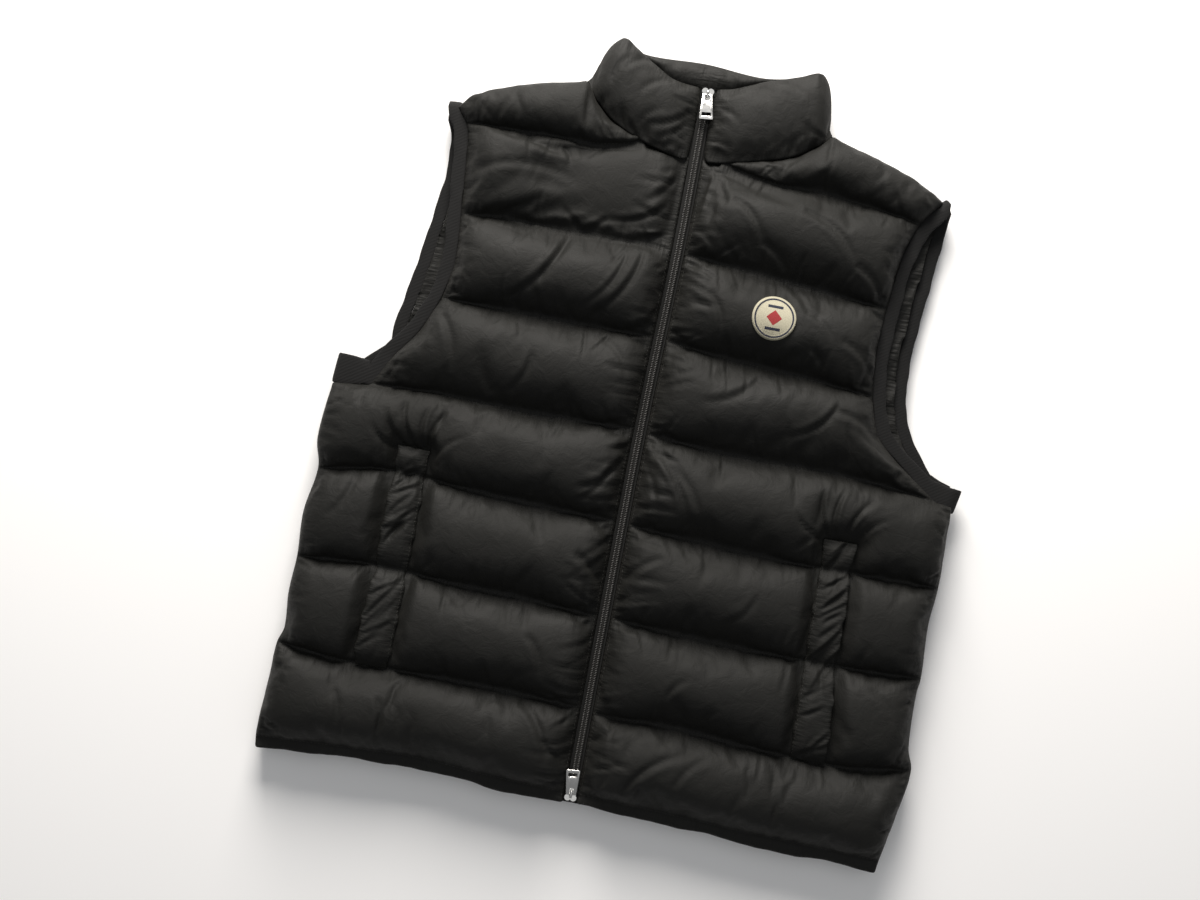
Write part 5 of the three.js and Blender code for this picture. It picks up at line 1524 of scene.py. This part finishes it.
def pull_tab():
    """A pull tab about its pivot: a tapered plate towards -Y, with an eye and a slot."""
    half = PULL["plate"] / 2
    body = block(-PULL["far"], PULL["far"], -PULL["length"], PULL["bar"], -half, half)
    select_only(body)
    bpy.ops.object.mode_set(mode="EDIT")
    bpy.ops.mesh.select_all(action="DESELECT")
    shape = bmesh.from_edit_mesh(body.data)
    for v in shape.verts:
        v.select = v.co.y > 0
    shape.select_flush(True)
    bmesh.update_edit_mesh(body.data)
    bpy.ops.transform.resize(value=(PULL["near"] / PULL["far"], 1, 1), center_override=(0, 0, 0))
    bpy.ops.object.mode_set(mode="OBJECT")
    corner_round(body)
    combine(body, block(-1.75, 1.75, -5.4, -PULL["bar"], -3, 3), "DIFFERENCE")
    window = bevelled(block(-3.7, 3.7, -18.6, -15.5, -3, 3), 0.5, 2)
    combine(body, window, "DIFFERENCE")
    return bevelled(body, 0.3, 3, 35)


def corner_round(body):
    """Rounds a plate's upright corners with a bevel on its edges along Z."""
    select_only(body)
    bpy.ops.object.mode_set(mode="EDIT")
    bpy.ops.mesh.select_mode(type="EDGE")
    bpy.ops.mesh.select_all(action="DESELECT")
    shape = bmesh.from_edit_mesh(body.data)
    for e in shape.edges:
        a, b = e.verts
        e.select = abs(a.co.z - b.co.z) > 1e-4 and a.co.y < 0
    shape.select_flush_mode()
    bmesh.update_edit_mesh(body.data)
    bpy.ops.mesh.bevel(offset=1.3 * MM, segments=5, affect="EDGES")
    bpy.ops.object.mode_set(mode="OBJECT")


def put(piece, row, pivot_z=0.0, pitch=0.0, yaw=0.0):
    """Moves a piece from its own middle to its slider's place on the zip."""
    from_middle = coordinates(piece) / MM
    p, w, t = (math.radians(v) for v in (-pitch, yaw, row["turn"]))
    tilt = np.array([[1, 0, 0], [0, math.cos(p), -math.sin(p)], [0, math.sin(p), math.cos(p)]])
    def about_z(a):
        return np.array([[math.cos(a), -math.sin(a), 0], [math.sin(a), math.cos(a), 0], [0, 0, 1]])
    placed = from_middle @ (about_z(w) @ tilt).T + [0, 0, pivot_z]
    placed = placed @ about_z(t).T + [float(zip_x(row["y"])), row["y"], TAPE_Z]
    set_coordinates(piece, place(placed))


for row in SLIDERS:
    body = modelled(f"slider_{row['name']}_body", slider())
    put(body, row)
    finish_with(body, METAL, replaces=[f"slider_{row['name']}"])
    tab = modelled(f"pull_{row['name']}", pull_tab())
    put(tab, row, DECK + PULL["gap"] + PULL["plate"] / 2, PULL_PITCH, row["yaw"])
    finish_with(tab, METAL, body=f"{row['name']}_pull", replaces=[f"pull_tab_{row['name']}"])

# ---------------------------------------------------------------- stitches

STITCH_PITCH = 3.2
STITCH = dict(long=2.3, wide=0.5, high=0.45)


def stitch_run(out_x, ys, surface, sunk=0.12):
    """Stitches along a line on the garment, given by points in mm: places and directions."""
    run = np.stack([out_x, ys], 1)
    step = np.linalg.norm(np.diff(run, axis=0), axis=1)
    along = np.concatenate([[0], np.cumsum(step)])
    at = np.arange(STITCH_PITCH / 2, along[-1], STITCH_PITCH)
    half = STITCH["long"] / 2
    ends = [np.stack([np.interp(at + d, along, run[:, i]) for i in (0, 1)], 1) for d in (-half, half)]
    return [
        (*a, surface.top(*a) - sunk, *b, surface.top(*b) - sunk) for a, b in zip(*ends)
    ]


def stitches(name, ends):
    """One mesh of short threads between pairs of points."""
    points, faces = [], []
    w, h = STITCH["wide"] / 2, STITCH["high"]
    for x0, y0, z0, x1, y1, z1 in ends:
        a, b = np.array([x0, y0, z0]), np.array([x1, y1, z1])
        along = (b - a) / np.linalg.norm(b - a)
        across = np.array([-along[1], along[0], 0]) / max(np.hypot(along[0], along[1]), 1e-6)
        up = np.cross(along, across)
        n = len(points)
        for share, fat in ((0, 0.25), (0.25, 1), (0.75, 1), (1, 0.25)):
            centre = a + (b - a) * share
            for dx, dz in ((-1, 0), (0, 1), (1, 0), (0, -1)):
                points.append(centre + across * dx * w * fat + up * dz * h * fat)
        for r in range(3):
            for i in range(4):
                j = (i + 1) % 4
                faces.append([n + 4 * r + i, n + 4 * r + j, n + 4 * r + 4 + j, n + 4 * r + 4 + i])
        faces += [[n + 3, n + 2, n + 1, n], [n + 12, n + 13, n + 14, n + 15]]
    piece = mesh_piece(name, place(points), faces)
    outward(piece)
    return piece


for front in (right, left):
    ends = []
    top = Surface(fronts[front.name])
    for k, (start, end, line) in enumerate(front.lines):
        if k == 0:
            continue
        outs = np.linspace(start + 1.5, end - 1.5, 60)
        under_welt = [s for s in [front.seams[k]] if s["welt_in"]]
        spans = [(start + 1.5, end - 1.5)]
        if under_welt:
            spans = [(start + 1.5, front.seams[k]["welt_in"] - 1), (front.seams[k]["welt_out"] + 1, end - 1.5)]
        for a, b in spans:
            outs = np.linspace(a, b, 60)
            ends += stitch_run(front.side * outs, line(outs), top)
    zip_side_y = np.linspace(2, float(front.neck_y(8)) - 2, 200)
    ends += stitch_run(front.side * (front.zip_edge(zip_side_y) + 2.2), zip_side_y, top)
    quilting = stitches(f"stitches_{front.name}", ends)
    finish_with(quilting, THREAD)
    over = Surface(welts[front.name])
    table = [dict(y=s["y3"], a=s["welt_in"], b=s["welt_out"]) for s in front.seams if s["welt_in"]]
    ys = np.linspace(table[0]["y"] + 3, table[2]["y"] + (table[3]["y"] - table[2]["y"]) * WELT_TOP_SHARE - 3, 60)
    inner = through(table, "y", "a")(ys) + 1.8
    edging = stitches(f"welt_stitches_{front.name}", stitch_run(front.side * inner, ys, over))
    finish_with(edging, THREAD)

# ---------------------------------------------------------------- camera, lights and floor

PHOTO_CENTRE = place([-30.6, 295.5, 20.0])
PHOTO_TURN = math.radians(10.48)
CAMERA_HEIGHT = 1.41

camera = bpy.data.objects.new("camera", bpy.data.cameras.new("camera"))
camera.data.lens = 50
camera.data.sensor_width = 36
camera.location = Vector(PHOTO_CENTRE) + Vector((0, 0, CAMERA_HEIGHT))
camera.rotation_euler = (0, 0, PHOTO_TURN)
bpy.context.scene.collection.objects.link(camera)
bpy.context.scene.camera = camera


def area_light(name, at, aim, power, size, colour="#ffffff"):
    data = bpy.data.lights.new(name, "AREA")
    data.energy, data.size = power, size
    data.color = linear(colour)[:3]
    lamp = bpy.data.objects.new(name, data)
    lamp.location = at
    lamp.rotation_euler = (Vector(aim) - Vector(at)).to_track_quat("-Z", "Y").to_euler()
    bpy.context.scene.collection.objects.link(lamp)
    return lamp


area_light("window", (-0.3, 1.5, 0.85), (0, 0, 0), 62, 0.85, "#fffaf4")
area_light("ceiling", (0.2, 0.3, 2.6), (0, 0, 0), 11, 2.4)

world = bpy.data.worlds.new("soft room")
world.use_nodes = True
backdrop = next(n for n in world.node_tree.nodes if n.type == "BACKGROUND")
backdrop.inputs["Color"].default_value = linear("#f4f5f7")
backdrop.inputs["Strength"].default_value = 0.26
bpy.context.scene.world = world
bpy.context.scene.view_settings.view_transform = "Standard"

floor = mesh_piece("floor", [(-30, -30, 0), (30, -30, 0), (30, 30, 0), (-30, 30, 0)], [(0, 1, 2, 3)])
paper, _, paper_shader, _ = material("white card", Roughness=0.9)
paper_shader.inputs["Base Color"].default_value = linear("#fafafa")
floor.data.materials.append(paper)
